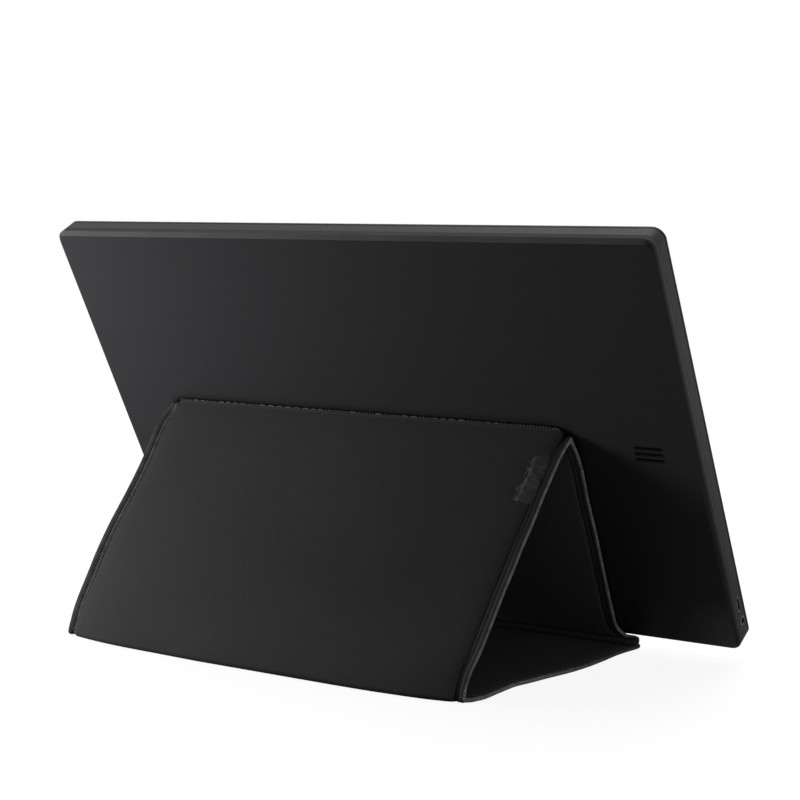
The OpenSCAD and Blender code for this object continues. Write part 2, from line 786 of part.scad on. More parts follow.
module leg_lining() {
  color([0.08, 0.08, 0.09]) above_lip() on_leg() lining_layer(-1)
    leg_outline(half_w - binding_w, leg_fillet, ridge_up - full_start(ridge_angle));
}

module leg_binding() {
  top = ridge_up - full_start(ridge_angle);
  color([0.17, 0.17, 0.18]) above_lip() on_leg() difference() {
    slab(-bead_r, bead_r) leg_outline(half_w, leg_fillet, top);
    slab(-bead_r - 1, bead_r + 1) leg_outline(half_w - binding_w, leg_fillet, ridge_up + 1);
  }
}

// Magnet in the leg panel's board, grown by a clearance and lengthened in depth
module magnet_block(x, z, grow, deeper) {
  low = bead_r - lining_t - stiff_t;
  block(x - magnet_len / 2 - grow, x + magnet_len / 2 + grow, low - deeper,
        low + stiff_t + deeper, z - magnet_h / 2 - grow, z + magnet_h / 2 + grow);
}

module leg_magnets() {
  color([0.6, 0.6, 0.62]) on_leg() for (s = leg_magnet_spots) magnet_block(s[0], s[1], 0, 0);
}

// Doubled hem that lies on the base panel and carries the monitor's lower edge
module lip() {
  color([0.14, 0.14, 0.15]) difference() {
    translate([stand_x, heel_y - base_len + lip_step, panel_t]) linear_extrude(height = lip_t)
      lip_outline();
    for (x = edge_magnet_spots) edge_magnet(x, panel_t - 1, panel_t + magnet_t + magnet_clear,
                                            magnet_clear);
  }
}

// Lip seen from above, its front edge on y = 0
module lip_outline() {
  r = base_r - lip_step;
  for (s = [-1, 1]) translate([s * (lip_half - r), r]) circle(r = r);
  translate([-(lip_half - r), 0]) square([2 * (lip_half - r), lip_d]);
  translate([-lip_half, r]) square([2 * lip_half, lip_d - r]);
}

// Magnet along the front edge, between the heights z0 and z1
module edge_magnet(x, z0, z1, grow) {
  front = heel_y - base_len + binding_w + 1;
  block(stand_x + x - magnet_len / 2 - grow, stand_x + x + magnet_len / 2 + grow, front - grow,
        front + magnet_d + grow, z0, z1);
}

module lip_magnets() {
  color([0.6, 0.6, 0.62]) for (x = edge_magnet_spots) edge_magnet(x, panel_t, panel_t + magnet_t, 0);
}

// Sewn ridge: round bead on the fold's axis with its strip of outer fabric
module ridge_fold() {
  web = fabric_start(ridge_angle);
  color([0.12, 0.12, 0.13]) on_leg() {
    fold_bead(ridge_up, half_w);
    block(-half_w + binding_w, half_w - binding_w, -bead_r, -bead_r + fabric_t, ridge_up - web,
          ridge_up);
  }
}

// Bead along a fold, 1 mm short of the panel's edges
module fold_bead(z, right) {
  translate([-half_w + 1, 0, z]) rotate([0, 90, 0]) cylinder(h = half_w + right - 2, r = bead_r);
}

// ---- Cover: rear panel -----------------------------------------------------

module rear_fabric() {
  color([0.12, 0.12, 0.13]) on_rear() fabric_layer(1)
    rear_outline(binding_w, fabric_start(heel_angle), rear_len - fabric_start(ridge_angle), 1);
}

module rear_board() {
  color([0.35, 0.33, 0.3]) on_rear() stiff_layer(1)
    rear_outline(binding_w, stiff_start(heel_angle), rear_len - stiff_start(ridge_angle), 1);
}

module rear_lining() {
  color([0.08, 0.08, 0.09]) on_rear() lining_layer(1)
    rear_outline(binding_w, full_start(heel_angle), rear_len - full_start(ridge_angle), 1);
}

module rear_binding() {
  low = full_start(heel_angle);
  top = rear_len - full_start(ridge_angle);
  color([0.17, 0.17, 0.18]) on_rear() difference() {
    slab(-bead_r, bead_r) rear_outline(0, low, top, heel_r);
    slab(-bead_r - 1, bead_r + 1) rear_outline(binding_w, low - 2, top + 2, 1);
  }
}

module heel_fold() {
  web = fabric_start(heel_angle);
  color([0.12, 0.12, 0.13]) on_rear() {
    fold_bead(0, half_w - heel_in);
    block(-half_w + binding_w, half_w - heel_in - binding_w, bead_r - fabric_t, bead_r, 0, web);
  }
}

module label_patch() {
  label_x = -half_w + binding_w;
  color([0.2, 0.2, 0.21]) on_rear()
    block(label_x, label_x + label_w, bead_r, bead_r + label_t,
          rear_len - label_down - label_len, rear_len - label_down);
}

// ---- Cover: base panel -----------------------------------------------------

module base_fabric() {
  color([0.12, 0.12, 0.13]) on_base() fabric_layer(-1)
    base_outline(binding_w, fabric_start(heel_angle), 1, base_r - binding_w);
}

module base_board() {
  color([0.35, 0.33, 0.3]) difference() {
    on_base() stiff_layer(-1)
      base_outline(binding_w, stiff_start(heel_angle), 1, base_r - binding_w);
    for (x = edge_magnet_spots)
      edge_magnet(x, 0, panel_t, magnet_clear);
  }
}

module base_lining() {
  color([0.08, 0.08, 0.09]) on_base() lining_layer(-1)
    base_outline(binding_w, full_start(heel_angle), 1, base_r - binding_w);
}

module base_binding() {
  low = full_start(heel_angle);
  color([0.17, 0.17, 0.18]) on_base() difference() {
    slab(-bead_r, bead_r) base_outline(0, low, heel_r, base_r);
    slab(-bead_r - 1, bead_r + 1) base_outline(binding_w, low - 2, 1, base_r - binding_w);
  }
}

module base_magnets() {
  color([0.6, 0.6, 0.62]) for (x = edge_magnet_spots)
    edge_magnet(x, fabric_t, fabric_t + stiff_t, 0);
}

back_cover();
front_bezel();
bezel_gasket();
lcd_cell();
diffuser_sheet();
light_guide();
reflector_sheet();
led_bar();
panel_chassis();
driver_board();
main_board();
main_chip();
shield_can();
board_screws();
chassis_screws();
display_cable();
usb_port();
audio_jack();
button_board();
tact_switches();
power_button();
up_button();
down_button();
light_pipe();
steel_plates();
rubber_feet();
leg_fabric();
leg_board();
leg_lining();
leg_binding();
leg_magnets();
lip();
lip_magnets();
ridge_fold();
rear_fabric();
rear_board();
rear_lining();
rear_binding();
heel_fold();
label_patch();
base_fabric();
base_board();
base_lining();
base_binding();
base_magnets();
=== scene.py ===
"""Looks for a slim portable monitor that leans on its own folding fabric cover.

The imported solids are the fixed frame.  The rigid parts keep their solids and get finishes; the sewn
cover is rebuilt here as cloth over stiff boards, with rolled edge tape, stitches and a blank label.
Lengths are in millimetres inside the classes and in metres on every Blender object.
"""
import json
import logging
import math
import random
from dataclasses import dataclass
from enum import Enum
from functools import reduce
from typing import Callable, Iterable

import bpy
import numpy as np
from mathutils import Matrix, Vector


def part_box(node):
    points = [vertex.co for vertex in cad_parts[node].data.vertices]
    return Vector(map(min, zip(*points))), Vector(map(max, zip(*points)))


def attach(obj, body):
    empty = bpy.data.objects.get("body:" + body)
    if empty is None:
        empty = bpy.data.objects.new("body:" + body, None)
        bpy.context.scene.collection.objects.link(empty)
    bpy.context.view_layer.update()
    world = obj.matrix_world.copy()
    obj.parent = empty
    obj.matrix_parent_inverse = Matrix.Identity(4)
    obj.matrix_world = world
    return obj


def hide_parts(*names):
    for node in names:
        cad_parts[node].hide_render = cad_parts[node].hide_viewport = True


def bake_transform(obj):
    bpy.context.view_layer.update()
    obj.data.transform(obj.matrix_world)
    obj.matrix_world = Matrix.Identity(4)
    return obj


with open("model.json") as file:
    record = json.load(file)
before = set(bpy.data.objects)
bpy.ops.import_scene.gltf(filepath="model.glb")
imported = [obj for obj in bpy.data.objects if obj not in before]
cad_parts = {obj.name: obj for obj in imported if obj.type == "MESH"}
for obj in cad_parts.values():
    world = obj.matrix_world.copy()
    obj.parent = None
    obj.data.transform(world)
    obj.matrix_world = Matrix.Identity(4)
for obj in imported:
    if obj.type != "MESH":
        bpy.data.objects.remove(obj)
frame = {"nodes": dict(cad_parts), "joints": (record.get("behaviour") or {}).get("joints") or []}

LOG = logging.getLogger("portable_monitor")
MM = 0.001
FAR = 1e3
CLOTH_MAP = "cloth"
Colour = tuple[float, float, float]
Point = tuple[float, float]
Range = tuple[float, float]
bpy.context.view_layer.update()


# ---------------------------------------------------------------------------- small helpers


def grey(level: float, tint: float = 0.0) -> Colour:
    """Linear colour of a grey written as a screen level from 0 to 255, with a faint violet tint."""
    linear = ((level / 255 + 0.055) / 1.055) ** 2.4 if level > 10 else level / 255 / 12.92
    return (linear * (1 - 0.2 * tint), linear * (1 - tint), linear * (1 + 1.6 * tint))


def smooth_curve(where: np.ndarray, knots: list[Point]) -> np.ndarray:
    """Reads a smooth curve through a few knots.

    Args:
        where: Places at which the curve is wanted.
        knots: Pairs of place and value, in rising order of place.

    Returns:
        The curve's values, constant beyond the end knots.
    """
    xs, ys = np.array(knots, float).T
    slope = np.gradient(ys, xs)
    place = np.clip(np.asarray(where, float), xs[0], xs[-1])
    i = np.clip(np.searchsorted(xs, place, side="right") - 1, 0, len(xs) - 2)
    width = xs[i + 1] - xs[i]
    t = (place - xs[i]) / width
    return (
        (2 * t**3 - 3 * t**2 + 1) * ys[i]
        + (t**3 - 2 * t**2 + t) * width * slope[i]
        + (-2 * t**3 + 3 * t**2) * ys[i + 1]
        + (t**3 - t**2) * width * slope[i + 1]
    )


def unit(v: np.ndarray) -> np.ndarray:
    """The vector, or each row of an array of vectors, at length 1."""
    return v / np.maximum(np.linalg.norm(v, axis=-1, keepdims=True), 1e-12)


def travelled(line: np.ndarray) -> np.ndarray:
    """Distance run along a line at each of its points."""
    return np.concatenate([[0], np.cumsum(np.linalg.norm(np.diff(line, axis=0), axis=1))])


def spatial(x: np.ndarray, yz: np.ndarray) -> np.ndarray:
    """Points in space from their X and from their Y and Z."""
    return np.concatenate([x[..., None], np.broadcast_to(yz, (*x.shape, 2))], -1)


def paired(first: np.ndarray, second: np.ndarray) -> np.ndarray:
    """Pairs of two arrays that are widened to each other, such as cloth coordinates."""
    return np.stack(np.broadcast_arrays(first, second), -1)


class MeshParts:
    """Collects vertices in millimetres, faces and cloth coordinates for one object."""

    def __init__(self) -> None:
        """Starts empty."""
        self.points: list[tuple[float, float, float]] = []
        self.coords: list[Point] = []
        self.faces: list[tuple[int, ...]] = []

    def add_grid(self, grid: np.ndarray, coords: np.ndarray, flip: bool = False,
                 wrap: bool = False) -> int:
        """Adds a grid of quads.

        Args:
            grid: Array of rows x columns x 3 positions.
            coords: Array of rows x columns x 2 cloth coordinates, in millimetres.
            flip: Turns the faces round.
            wrap: Joins the last column to the first.

        Returns:
            The index of the grid's first vertex.
        """
        rows, cols = grid.shape[:2]
        first = len(self.points)
        self.points += [tuple(p) for p in grid.reshape(-1, 3)]
        self.coords += [tuple(c) for c in coords.reshape(-1, 2)]
        for row in range(first, first + (rows - 1) * cols, cols):
            for j in range(cols if wrap else cols - 1):
                k = (j + 1) % cols
                quad = (row + j, row + k, row + cols + k, row + cols + j)
                self.faces.append(quad[::-1] if flip else quad)
        return first

    def add_slab(self, top: np.ndarray, bottom: np.ndarray, coords: np.ndarray) -> None:
        """Adds a closed sheet.

        Args:
            top: Grid of its upper face.
            bottom: Grid of its lower face, of the same shape.
            coords: Cloth coordinates of both.
        """
        rows, cols = top.shape[:2]
        a = self.add_grid(top, coords)
        b = self.add_grid(bottom, coords, flip=True)
        border = [*range(cols), *range(2 * cols - 1, rows * cols, cols),
                  *range(rows * cols - 2, (rows - 1) * cols - 1, -1),
                  *range((rows - 2) * cols, 0, -cols)]
        for p, q in zip(border, border[1:] + border[:1]):
            self.faces.append((a + q, a + p, b + p, b + q))

    def add_tube(self, rings: np.ndarray, coords: np.ndarray) -> None:
        """Adds a closed bar.

        Args:
            rings: Rings of points along it, the first and last of which get a cap.
            coords: Their cloth coordinates.
        """
        cols = rings.shape[1]
        first = self.add_grid(rings, coords, wrap=True)
        last = first + (rings.shape[0] - 1) * cols
        self.faces.append(tuple(range(first, first + cols))[::-1])
        self.faces.append(tuple(range(last, last + cols)))

    def build(self, name: str, sharp: float = 40.0) -> bpy.types.Object:
        """Makes the object.

        Args:
            name: Name of the object and its mesh.
            sharp: Angle in degrees above which an edge stays sharp.

        Returns:
            The object, linked to the scene.
        """
        mesh = bpy.data.meshes.new(name)
        mesh.from_pydata([(x * MM, y * MM, z * MM) for x, y, z in self.points], [], self.faces)
        layer = mesh.uv_layers.new(name=CLOTH_MAP)
        flat = np.array(self.coords, float) * MM
        index = np.zeros(len(mesh.loops), int)
        mesh.loops.foreach_get("vertex_index", index)
        layer.data.foreach_set("uv", flat[index].reshape(-1))
        mesh.validate()
        mesh.shade_smooth()
        mesh.set_sharp_from_angle(angle=math.radians(sharp))
        piece = bpy.data.objects.new(name, mesh)
        bpy.context.scene.collection.objects.link(piece)
        return piece


# ---------------------------------------------------------------------------- node building


def arithmetic(operation: str, number_first: bool = False) -> Callable[..., "Signal"]:
    """Makes one of the arithmetic methods of Signal.

    Args:
        operation: Operation of the Math node that the method adds.
        number_first: Puts the other value before the signal.

    Returns:
        The method.
    """
    def method(self: "Signal", *others: "Value") -> "Signal":
        """The operation on this signal and the others."""
        return self.graph.math(operation, *((*others, self) if number_first else (self, *others)))

    return method


class Signal:
    """Something that changes over a surface: an output socket, open to arithmetic."""

    __add__ = arithmetic("ADD")
    __radd__ = arithmetic("ADD", number_first=True)
    __sub__ = arithmetic("SUBTRACT")
    __rsub__ = arithmetic("SUBTRACT", number_first=True)
    __mul__ = arithmetic("MULTIPLY")
    __abs__ = arithmetic("ABSOLUTE")
    most = arithmetic("MAXIMUM")
    least = arithmetic("MINIMUM")
    root = arithmetic("SQRT")
    sine = arithmetic("SINE")

    def __init__(self, graph: "Graph", socket: bpy.types.NodeSocket) -> None:
        """Keeps the socket and its graph."""
        self.graph = graph
        self.socket = socket

    def along(self, axis: Vector) -> "Signal":
        """Share of this vector along an axis."""
        return self.graph.out("VectorMath", "Value", self, axis, operation="DOT_PRODUCT")

    def axes(self) -> tuple["Signal", ...]:
        """This vector's X, Y and Z."""
        node = self.graph.node("SeparateXYZ", self)
        return tuple(Signal(self.graph, socket) for socket in node.outputs)

    def ramp(self, low: float, high: float, start: "Value" = 0.0, end: "Value" = 1.0) -> "Signal":
        """Goes from start to end, and no further, as this one goes from low to high."""
        return self.graph.out("MapRange", "Result", Value=self, From_Min=low, From_Max=high,
                              To_Min=start, To_Max=end)

    def ramp_mm(self, low: float, high: float, start: "Value" = 0.0,
                end: "Value" = 1.0) -> "Signal":
        """The same for a length, with low and high in millimetres."""
        return self.ramp(low * MM, high * MM, start, end)

    def between(self, start: "Value", end: "Value") -> "Signal":
        """Goes from start to end as this share goes from 0 to 1."""
        return self.ramp(0.0, 1.0, start, end)

    def tone(self, low: float, high: float, spread: "Value") -> "Signal":
        """Tone that strays from 1 by a spread either way as this one goes from low to high."""
        return self.ramp(low, high, 1.0 - spread, 1.0 + spread)


Value = Signal | float | Colour | Vector


class Graph:
    """Short calls for building a node tree."""

    def __init__(self, tree: bpy.types.NodeTree) -> None:
        """Keeps the tree."""
        self.tree = tree

    def node(self, kind: str, *values: Value, **inputs: object) -> bpy.types.Node:
        """Adds a node.

        Args:
            kind: Node type without its ShaderNode prefix.
            *values: What feeds the first inputs, in order.
            **inputs: Node settings in lower case, and what feeds the other inputs by name, with
                underscores for spaces.

        Returns:
            The node.
        """
        node = self.tree.nodes.new("ShaderNode" + kind)
        for name, value in inputs.items():
            if name.islower():
                setattr(node, name, value)
            else:
                self.feed(node.inputs[name.replace("_", " ")], value)
        for socket, value in zip(node.inputs, values):
            self.feed(socket, value)
        return node

    def out(self, kind: str, output: str | int, *values: Value, **inputs: object) -> Signal:
        """Adds a node as above and gives one of its outputs."""
        return Signal(self, self.node(kind, *values, **inputs).outputs[output])

    def feed(self, socket: bpy.types.NodeSocket, value: Value) -> None:
        """Feeds a socket.

        Args:
            socket: Input socket.
            value: Constant that it is set to, or source that is linked to it.
        """
        if isinstance(value, Signal):
            self.tree.links.new(value.socket, socket)
        elif socket.type == "RGBA":
            socket.default_value = (*value, 1.0)
        else:
            socket.default_value = value

    def math(self, operation: str, *values: Value) -> Signal:
        """Result of a Math node."""
        return self.out("Math", 0, *values, operation=operation)

    def tint(self, colour: Value, tone: Value) -> Signal:
        """A colour multiplied by a tone."""
        return self.out("VectorMath", "Vector", colour, operation="SCALE", Scale=tone)

    def mix(self, share: Value, first: Value, second: Value) -> Signal:
        """Blends two colours.

        Args:
            share: Share of the second colour.
            first: First colour.
            second: Second colour.

        Returns:
            The blend.
        """
        node = self.node("Mix", data_type="RGBA", Factor=share)
        for socket, colour in zip(node.inputs[6:8], (first, second)):
            self.feed(socket, colour)
        return Signal(self, node.outputs[2])

    def bands(self, place: Signal, colour: Value, *bands: tuple[float, float, Value]) -> Signal:
        """Lays colours in bands beside each other.

        Args:
            place: Length that runs across the bands.
            colour: The first band's colour.
            *bands: Where each following colour starts and is full, in millimetres, and the colour.

        Returns:
            The colour at each place.
        """
        for low, high, following in bands:
            colour = self.mix(place.ramp_mm(low, high), colour, following)
        return colour

    def noise(self, place: Signal, scale: Value, detail: float, **inputs: float) -> Signal:
        """Smooth noise from 0 to 1."""
        return self.out("TexNoise", "Fac", Vector=place, Scale=scale, Detail=detail, **inputs)

    def spot(self) -> Signal:
        """Place on the object."""
        return self.out("TexCoord", "Object")

    def normal(self) -> Signal:
        """Outward direction of the surface, in the object's frame."""
        return self.out("TexCoord", "Normal")

    def cloth(self) -> Signal:
        """Place on the flat cloth: across it in X and along it in Y."""
        return self.out("UVMap", "UV", uv_map=CLOTH_MAP)


class Group(Graph):
    """A node group with named inputs and outputs."""

    def __init__(self, effect: "Effect", outputs: tuple[str, ...], **inputs: float) -> None:
        """Opens the group.

        Args:
            effect: Effect that gives the group its name.
            outputs: Names of the outputs.
            **inputs: Default values of the inputs by name, with underscores for spaces.
        """
        super().__init__(bpy.data.node_groups.new(effect.value, "ShaderNodeTree"))
        for label, value in inputs.items():
            self._socket(label.replace("_", " "), "INPUT").default_value = value
        for label in outputs:
            self._socket(label, "OUTPUT")
        self.given = self.tree.nodes.new("NodeGroupInput").outputs
        self.wanted = self.tree.nodes.new("NodeGroupOutput").inputs

    def _socket(self, label: str, way: str) -> bpy.types.NodeTreeInterfaceSocket:
        """A new number socket on one side of the group."""
        return self.tree.interface.new_socket(label, in_out=way, socket_type="NodeSocketFloat")

    def take(self, label: str) -> Signal:
        """One of the group's inputs."""
        return Signal(self, self.given[label])

    def give(self, **outputs: Signal) -> "Group":
        """Finishes the group.

        Args:
            **outputs: What feeds its outputs by name.

        Returns:
            The group.
        """
        for label, value in outputs.items():
            self.feed(self.wanted[label], value)
        return self


class Effect(Enum):
    """Surface effects that several finishes share, with the names of their groups."""

    GRAIN = "moulded_grain"
    HAIRLINES = "brushed_hairlines"
    WEAVE = "plain_weave"
    RIB = "twill_rib"
    DUST = "settled_dust"
    # Painted shade on a case's side walls, darker near the table.
    GRIME = "painted_side_shade"


# Height above the table in millimetres at which the painted side shade is darkest, and at which it
# ends.
SIDE_SHADE_HEIGHTS: Range = (50.0, 140.0)


class Effects:
    """Builds each shared effect once, as a node group."""

    def __init__(self, lean: float) -> None:
        """Starts with none built.

        Args:
            lean: Lean of the case in radians, which the hairlines follow.
        """
        self.lean = lean
        self.made: dict[Effect, Group] = {}
        self.builders: dict[Effect, Callable[[], Group]] = {
            Effect.GRAIN: self._grain, Effect.HAIRLINES: self._hairlines,
            Effect.WEAVE: self._weave, Effect.RIB: self._rib,
            Effect.DUST: self._dust, Effect.GRIME: self._grime}

    def group(self, effect: Effect) -> Group:
        """Finds the group of an effect, and builds it at its first use.

        Args:
            effect: The effect.

        Returns:
            The group.
        """
        if effect not in self.made:
            self.made[effect] = self.builders[effect]()
        return self.made[effect]

    def _grain(self) -> Group:
        """Fine moulded texture with a slow change of tone.

        Returns:
            The group.
        """
        g = Group(Effect.GRAIN, ("Height", "Tone"), Grains_per_Metre=2500.0, Mottle=0.15)
        spot = g.spot()
        slow = g.noise(spot, 24.0, 3.0, Roughness=0.6)
        return g.give(Height=g.noise(spot, g.take("Grains per Metre"), 2.0),
                      Tone=slow.tone(0.3, 0.7, g.take("Mottle")))

    def _hairlines(self) -> Group:
        """Long fine lines across the case, from side to side.

        Returns:
            The group.
        """
        g = Group(Effect.HAIRLINES, ("Height", "Tone"), Lines_per_Metre=900.0,
                  Streaks_per_Metre=5.0, Contrast=0.3)
        upright = g.out("VectorRotate", "Vector", rotation_type="X_AXIS", Vector=g.spot(),
                        Angle=self.lean)
        x, _, z = upright.axes()

        def lines(across: Value, along: Value, seed: float) -> Signal:
            """Noise stretched along the lines."""
            return g.noise(g.out("CombineXYZ", "Vector", x * along, z * across, seed), 1.0, 2.0)

        pitch = g.take("Lines per Metre")
        thin = lines(pitch, g.take("Streaks per Metre"), 0.0)
        wide = lines(pitch * 0.16, 3.0, 7.0)
        both = thin * 0.6 + wide * 0.4
        return g.give(Height=thin, Tone=both.tone(0.35, 0.65, g.take("Contrast")))

    def _weave(self) -> Group:
        """Over-and-under threads along both ways of the cloth, with slubs and soft patches.

        Returns:
            The group.
        """
        g = Group(Effect.WEAVE, ("Height", "Tone"), Threads_per_Metre=2200.0, Mottle=0.12)
        cloth = g.cloth()
        turn = g.take("Threads per Metre") * math.pi
        warp, weft = ((way * turn).sine() for way in cloth.axes()[:2])
        slub = g.noise(cloth, 420.0, 3.0)
        patch = g.noise(cloth, 9.0, 4.0, Roughness=0.55)
        return g.give(Height=(warp * weft).ramp(-1.0, 1.0, 0.0, 0.6) + slub * 0.4,
                      Tone=(patch * 0.6 + slub * 0.4).tone(0.35, 0.65, g.take("Mottle")))

    def _rib(self) -> Group:
        """Slanting ribs of a woven edge tape.

        Returns:
            The group.
        """
        g = Group(Effect.RIB, ("Height", "Tone"), Ribs_per_Metre=900.0, Contrast=0.3)
        cloth = g.cloth()
        x, y, _ = cloth.axes()
        rib = ((x + y * 0.8) * (g.take("Ribs per Metre") * (2 * math.pi))).sine()
        uneven = g.noise(cloth, 160.0, 2.0)
        return g.give(Height=rib.ramp(-1.0, 1.0),
                      Tone=(rib * 0.25 + uneven).tone(0.2, 0.8, g.take("Contrast")))

    def _dust(self) -> Group:
        """Thin film that lies on surfaces facing up.

        Returns:
            The group.
        """
        g = Group(Effect.DUST, ("Mask",), Amount=0.1)
        _, _, up = g.out("NewGeometry", "Normal").axes()
        specks = g.noise(g.spot(), 180.0, 4.0, Roughness=0.7)
        film = up.ramp(0.1, 1.0) * specks.ramp(0.45, 0.75, 0.3, 1.0)
        return g.give(Mask=film * g.take("Amount"))

    def _grime(self) -> Group:
        """Painted shade on a case's side walls, darker near the table.

        Returns:
            The group.
        """
        g = Group(Effect.GRIME, ("Tone",), Least=0.6)
        aside, _, _ = g.normal().axes()
        _, _, height = g.spot().axes()
        lowered = height.ramp_mm(*SIDE_SHADE_HEIGHTS, g.take("Least"), 1.0)
        return g.give(Tone=abs(aside).ramp(0.5, 0.9, 1.0, lowered))


class Coat(Graph):
    """The node tree of one material, round its Principled shader."""

    def __init__(self, name: str, effects: Effects | None = None) -> None:
        """Starts the material.

        Args:
            name: Name of the material.
            effects: The shared effects, where it uses any.
        """
        self.material = bpy.data.materials.new(name)
        self.material.use_nodes = True
        super().__init__(self.material.node_tree)
        self.shader = self.tree.nodes["Principled BSDF"]
        self.effects = effects

    def place(self, effect: Effect, **values: float) -> dict[str, Signal]:
        """Places an effect with its own values by name, and gives its outputs by name."""
        node = self.node("Group", node_tree=self.effects.group(effect).tree, **values)
        return {socket.name: Signal(self, socket) for socket in node.outputs}

    def wear(self, **inputs: Value) -> None:
        """Feeds the shader's inputs by name, with underscores for spaces."""
        for name, value in inputs.items():
            self.feed(self.shader.inputs[name.replace("_", " ")], value)

    def relief(self, height: Signal, depth: float, strength: float) -> None:
        """Raises the surface by a height from 0 to 1, which stands for a depth in millimetres."""
        self.wear(Normal=self.out("Bump", "Normal", Height=height, Strength=strength,
                                  Distance=depth * MM))


# ---------------------------------------------------------------------------- finishes


DUST_COLOUR = grey(150)
DEEP_BLACK: Colour = (0.002, 0.002, 0.002)


@dataclass(frozen=True)
class Finish:
    """A finish, which makes a material of its own name."""

    name: str

    def build(self, effects: Effects) -> bpy.types.Material:
        """Makes the material.

        Args:
            effects: The shared effects.

        Returns:
            The material.
        """
        coat = Coat(self.name, effects)
        self.lay(coat)
        return coat.material

    def lay(self, g: Coat) -> None:
        """Lays the finish on; each kind does it in its own way."""
        raise NotImplementedError


@dataclass(frozen=True)
class HairlinePlastic(Finish):
    """Satin plastic: brushed on its back, plain on its rim, painted black as shade in the cut marks.

    Its colour also carries painted light: contact shade, a paler lower corner, shade on the walls
    that face up and low on the sides, a highlight and shade on the bevels, and a sheen that is
    partly painted into the rim's paler grey.

    The back lies at a level along its outward direction, and heights run up it from its foot; both
    are in metres, as the places on an object are.  The other lengths are in millimetres, and depths
    count down from the back's face.  A pair is where something starts and where it is full.
    """

    colour: Colour
    rim: Colour
    facing: Vector
    level: float
    rise: Vector
    foot: float
    marks: tuple[float, ...]
    mark_x: float
    mark_half: float
    corner_x: float
    # The floor of the cut marks is painted black as shade, and painted shade also spreads round them.
    mark_floor: Range = (-0.3, -0.1)
    mark_ends: Range = (-0.2, 1.2)
    mark_margin: Range = (0.6, 1.5)
    mark_shade: float = 0.9
    # Gain and reach of the painted light round the back's lower corner.
    corner_gain: float = 4.0
    corner_light_reach: Range = (8.0, 36.0)
    shadow_reach: float = 10.0
    roughness: float = 0.5
    gloss: float = 0.02
    lines: float = 2400.0
    contrast: float = 0.04
    dust: float = 0.02
    # Least tone of the painted shade low on the side walls, and tone of the painted shade on walls
    # that face up.
    grime: float = 0.52
    top: float = 0.62
    # Painted highlight on the top bevel, and painted shade on the inner part of a side bevel.
    bevel_highlight: float = 1.42
    bevel_shade: float = 0.42
    bevel_inside: Range = (-1.7, -1.2)
    back_facing: Range = (0.93, 0.99)
    top_facing: Range = (0.8, 0.95)
    slope_facing: Range = (0.3, 0.5)
    side_facing: Range = (0.2, 0.5)

    def lay(self, g: Coat) -> None:
        """Lays the brushed back over the plain rim, with their painted light and shade.

        Args:
            g: Tree of the material.
        """
        lines = g.place(Effect.HAIRLINES, Lines_per_Metre=self.lines, Contrast=self.contrast)
        grain = g.place(Effect.GRAIN, Grains_per_Metre=3000.0, Mottle=0.12)
        film = g.place(Effect.DUST, Amount=self.dust)["Mask"]
        grime = g.place(Effect.GRIME, Least=self.grime)["Tone"]
        spot, normal = g.spot(), g.normal()
        facing = normal.along(self.facing)
        back = facing.ramp(*self.back_facing)
        depth = spot.along(self.facing) - self.level
        height = spot.along(self.rise) - self.foot
        side = spot.axes()[0]
        # Painted shade: black on the floor of the cut marks, and soft dark margins round them.
        cut = depth.ramp_mm(*self.mark_floor, 1.0, 0.0).most(back * self._margin_shade(side, height))
        # Painted shade: ambient occlusion darkens the colour where other parts come close, as above
        # the cover's ridge.
        near = g.out("AmbientOcclusion", "AO", samples=8, Distance=self.shadow_reach * MM)
        # Painted light: the back turns paler round one lower corner.
        tone = lines["Tone"] * near.ramp(0.5, 0.85, 0.25, 1.0) * self._corner_light(side, height)
        brushed = g.mix(cut, g.tint(self.colour, tone), DEEP_BLACK)
        # Painted shade on walls that face up and low on the side walls.
        walls = normal.along(self.rise).ramp(*self.top_facing, 1.0, self.top) * grime
        # The grain's tone is the plastic's own; the bevels add painted highlight and shade.
        painted_light = grain["Tone"] * walls * self._bevelled(abs(normal.axes()[0]), facing, depth)
        # The rim's paler grey is partly its own colour and partly a painted sheen.
        plain = g.mix(film, g.tint(self.rim, painted_light), DUST_COLOUR)
        g.wear(Base_Color=g.mix(back, plain, brushed),
               Roughness=lines["Height"].ramp(0.3, 0.7, self.roughness - 0.07,
                                              self.roughness + 0.09),
               Specular_IOR_Level=self.gloss)
        g.relief(lines["Height"] * back + grain["Height"] * (1.0 - back), 0.03, 0.5)

    def _bevelled(self, aside: Signal, facing: Signal, depth: Signal) -> Signal:
        """Tone of the rim: a painted highlight on the top bevel, painted shade on a side bevel's
        inner part.

        Args:
            aside: How far the surface faces sideways.
            facing: How far it faces as the back does.
            depth: Its height over the back's level.

        Returns:
            The tone.
        """
        slope = facing.ramp(*self.slope_facing)
        on_top = slope * aside.ramp(*self.side_facing, 1.0, 0.0)
        on_side = slope * aside.ramp(*self.side_facing)
        inside = depth.ramp_mm(*self.bevel_inside, 1.0, self.bevel_shade)
        return on_top.between(1.0, self.bevel_highlight) * on_side.between(1.0, inside)

    def _corner_light(self, side: Signal, height: Signal) -> Signal:
        """Tone of the back, with painted light round the lower corner on the side of the marks.

        Args:
            side: Place across the back.
            height: Place up the back.

        Returns:
            The tone.
        """
        along = side - self.corner_x * MM
        away = (along * along + height * height).root()
        return away.ramp_mm(*self.corner_light_reach, self.corner_gain, 1.0)

    def _margin_shade(self, side: Signal, height: Signal) -> Signal:
        """Painted shade: dark soft margins round the cut marks.

        Args:
            side: Place across the back.
            height: Place up the back.

        Returns:
            The share of the painted shade.
        """
        ends = (self.mark_half + reach for reach in self.mark_ends)
        within = abs(side - self.mark_x * MM).ramp_mm(*ends, 1.0, 0.0)
        nearest = reduce(Signal.least, (abs(height - mark * MM) for mark in self.marks))
        return within * nearest.ramp_mm(*self.mark_margin, self.mark_shade, 0.0)


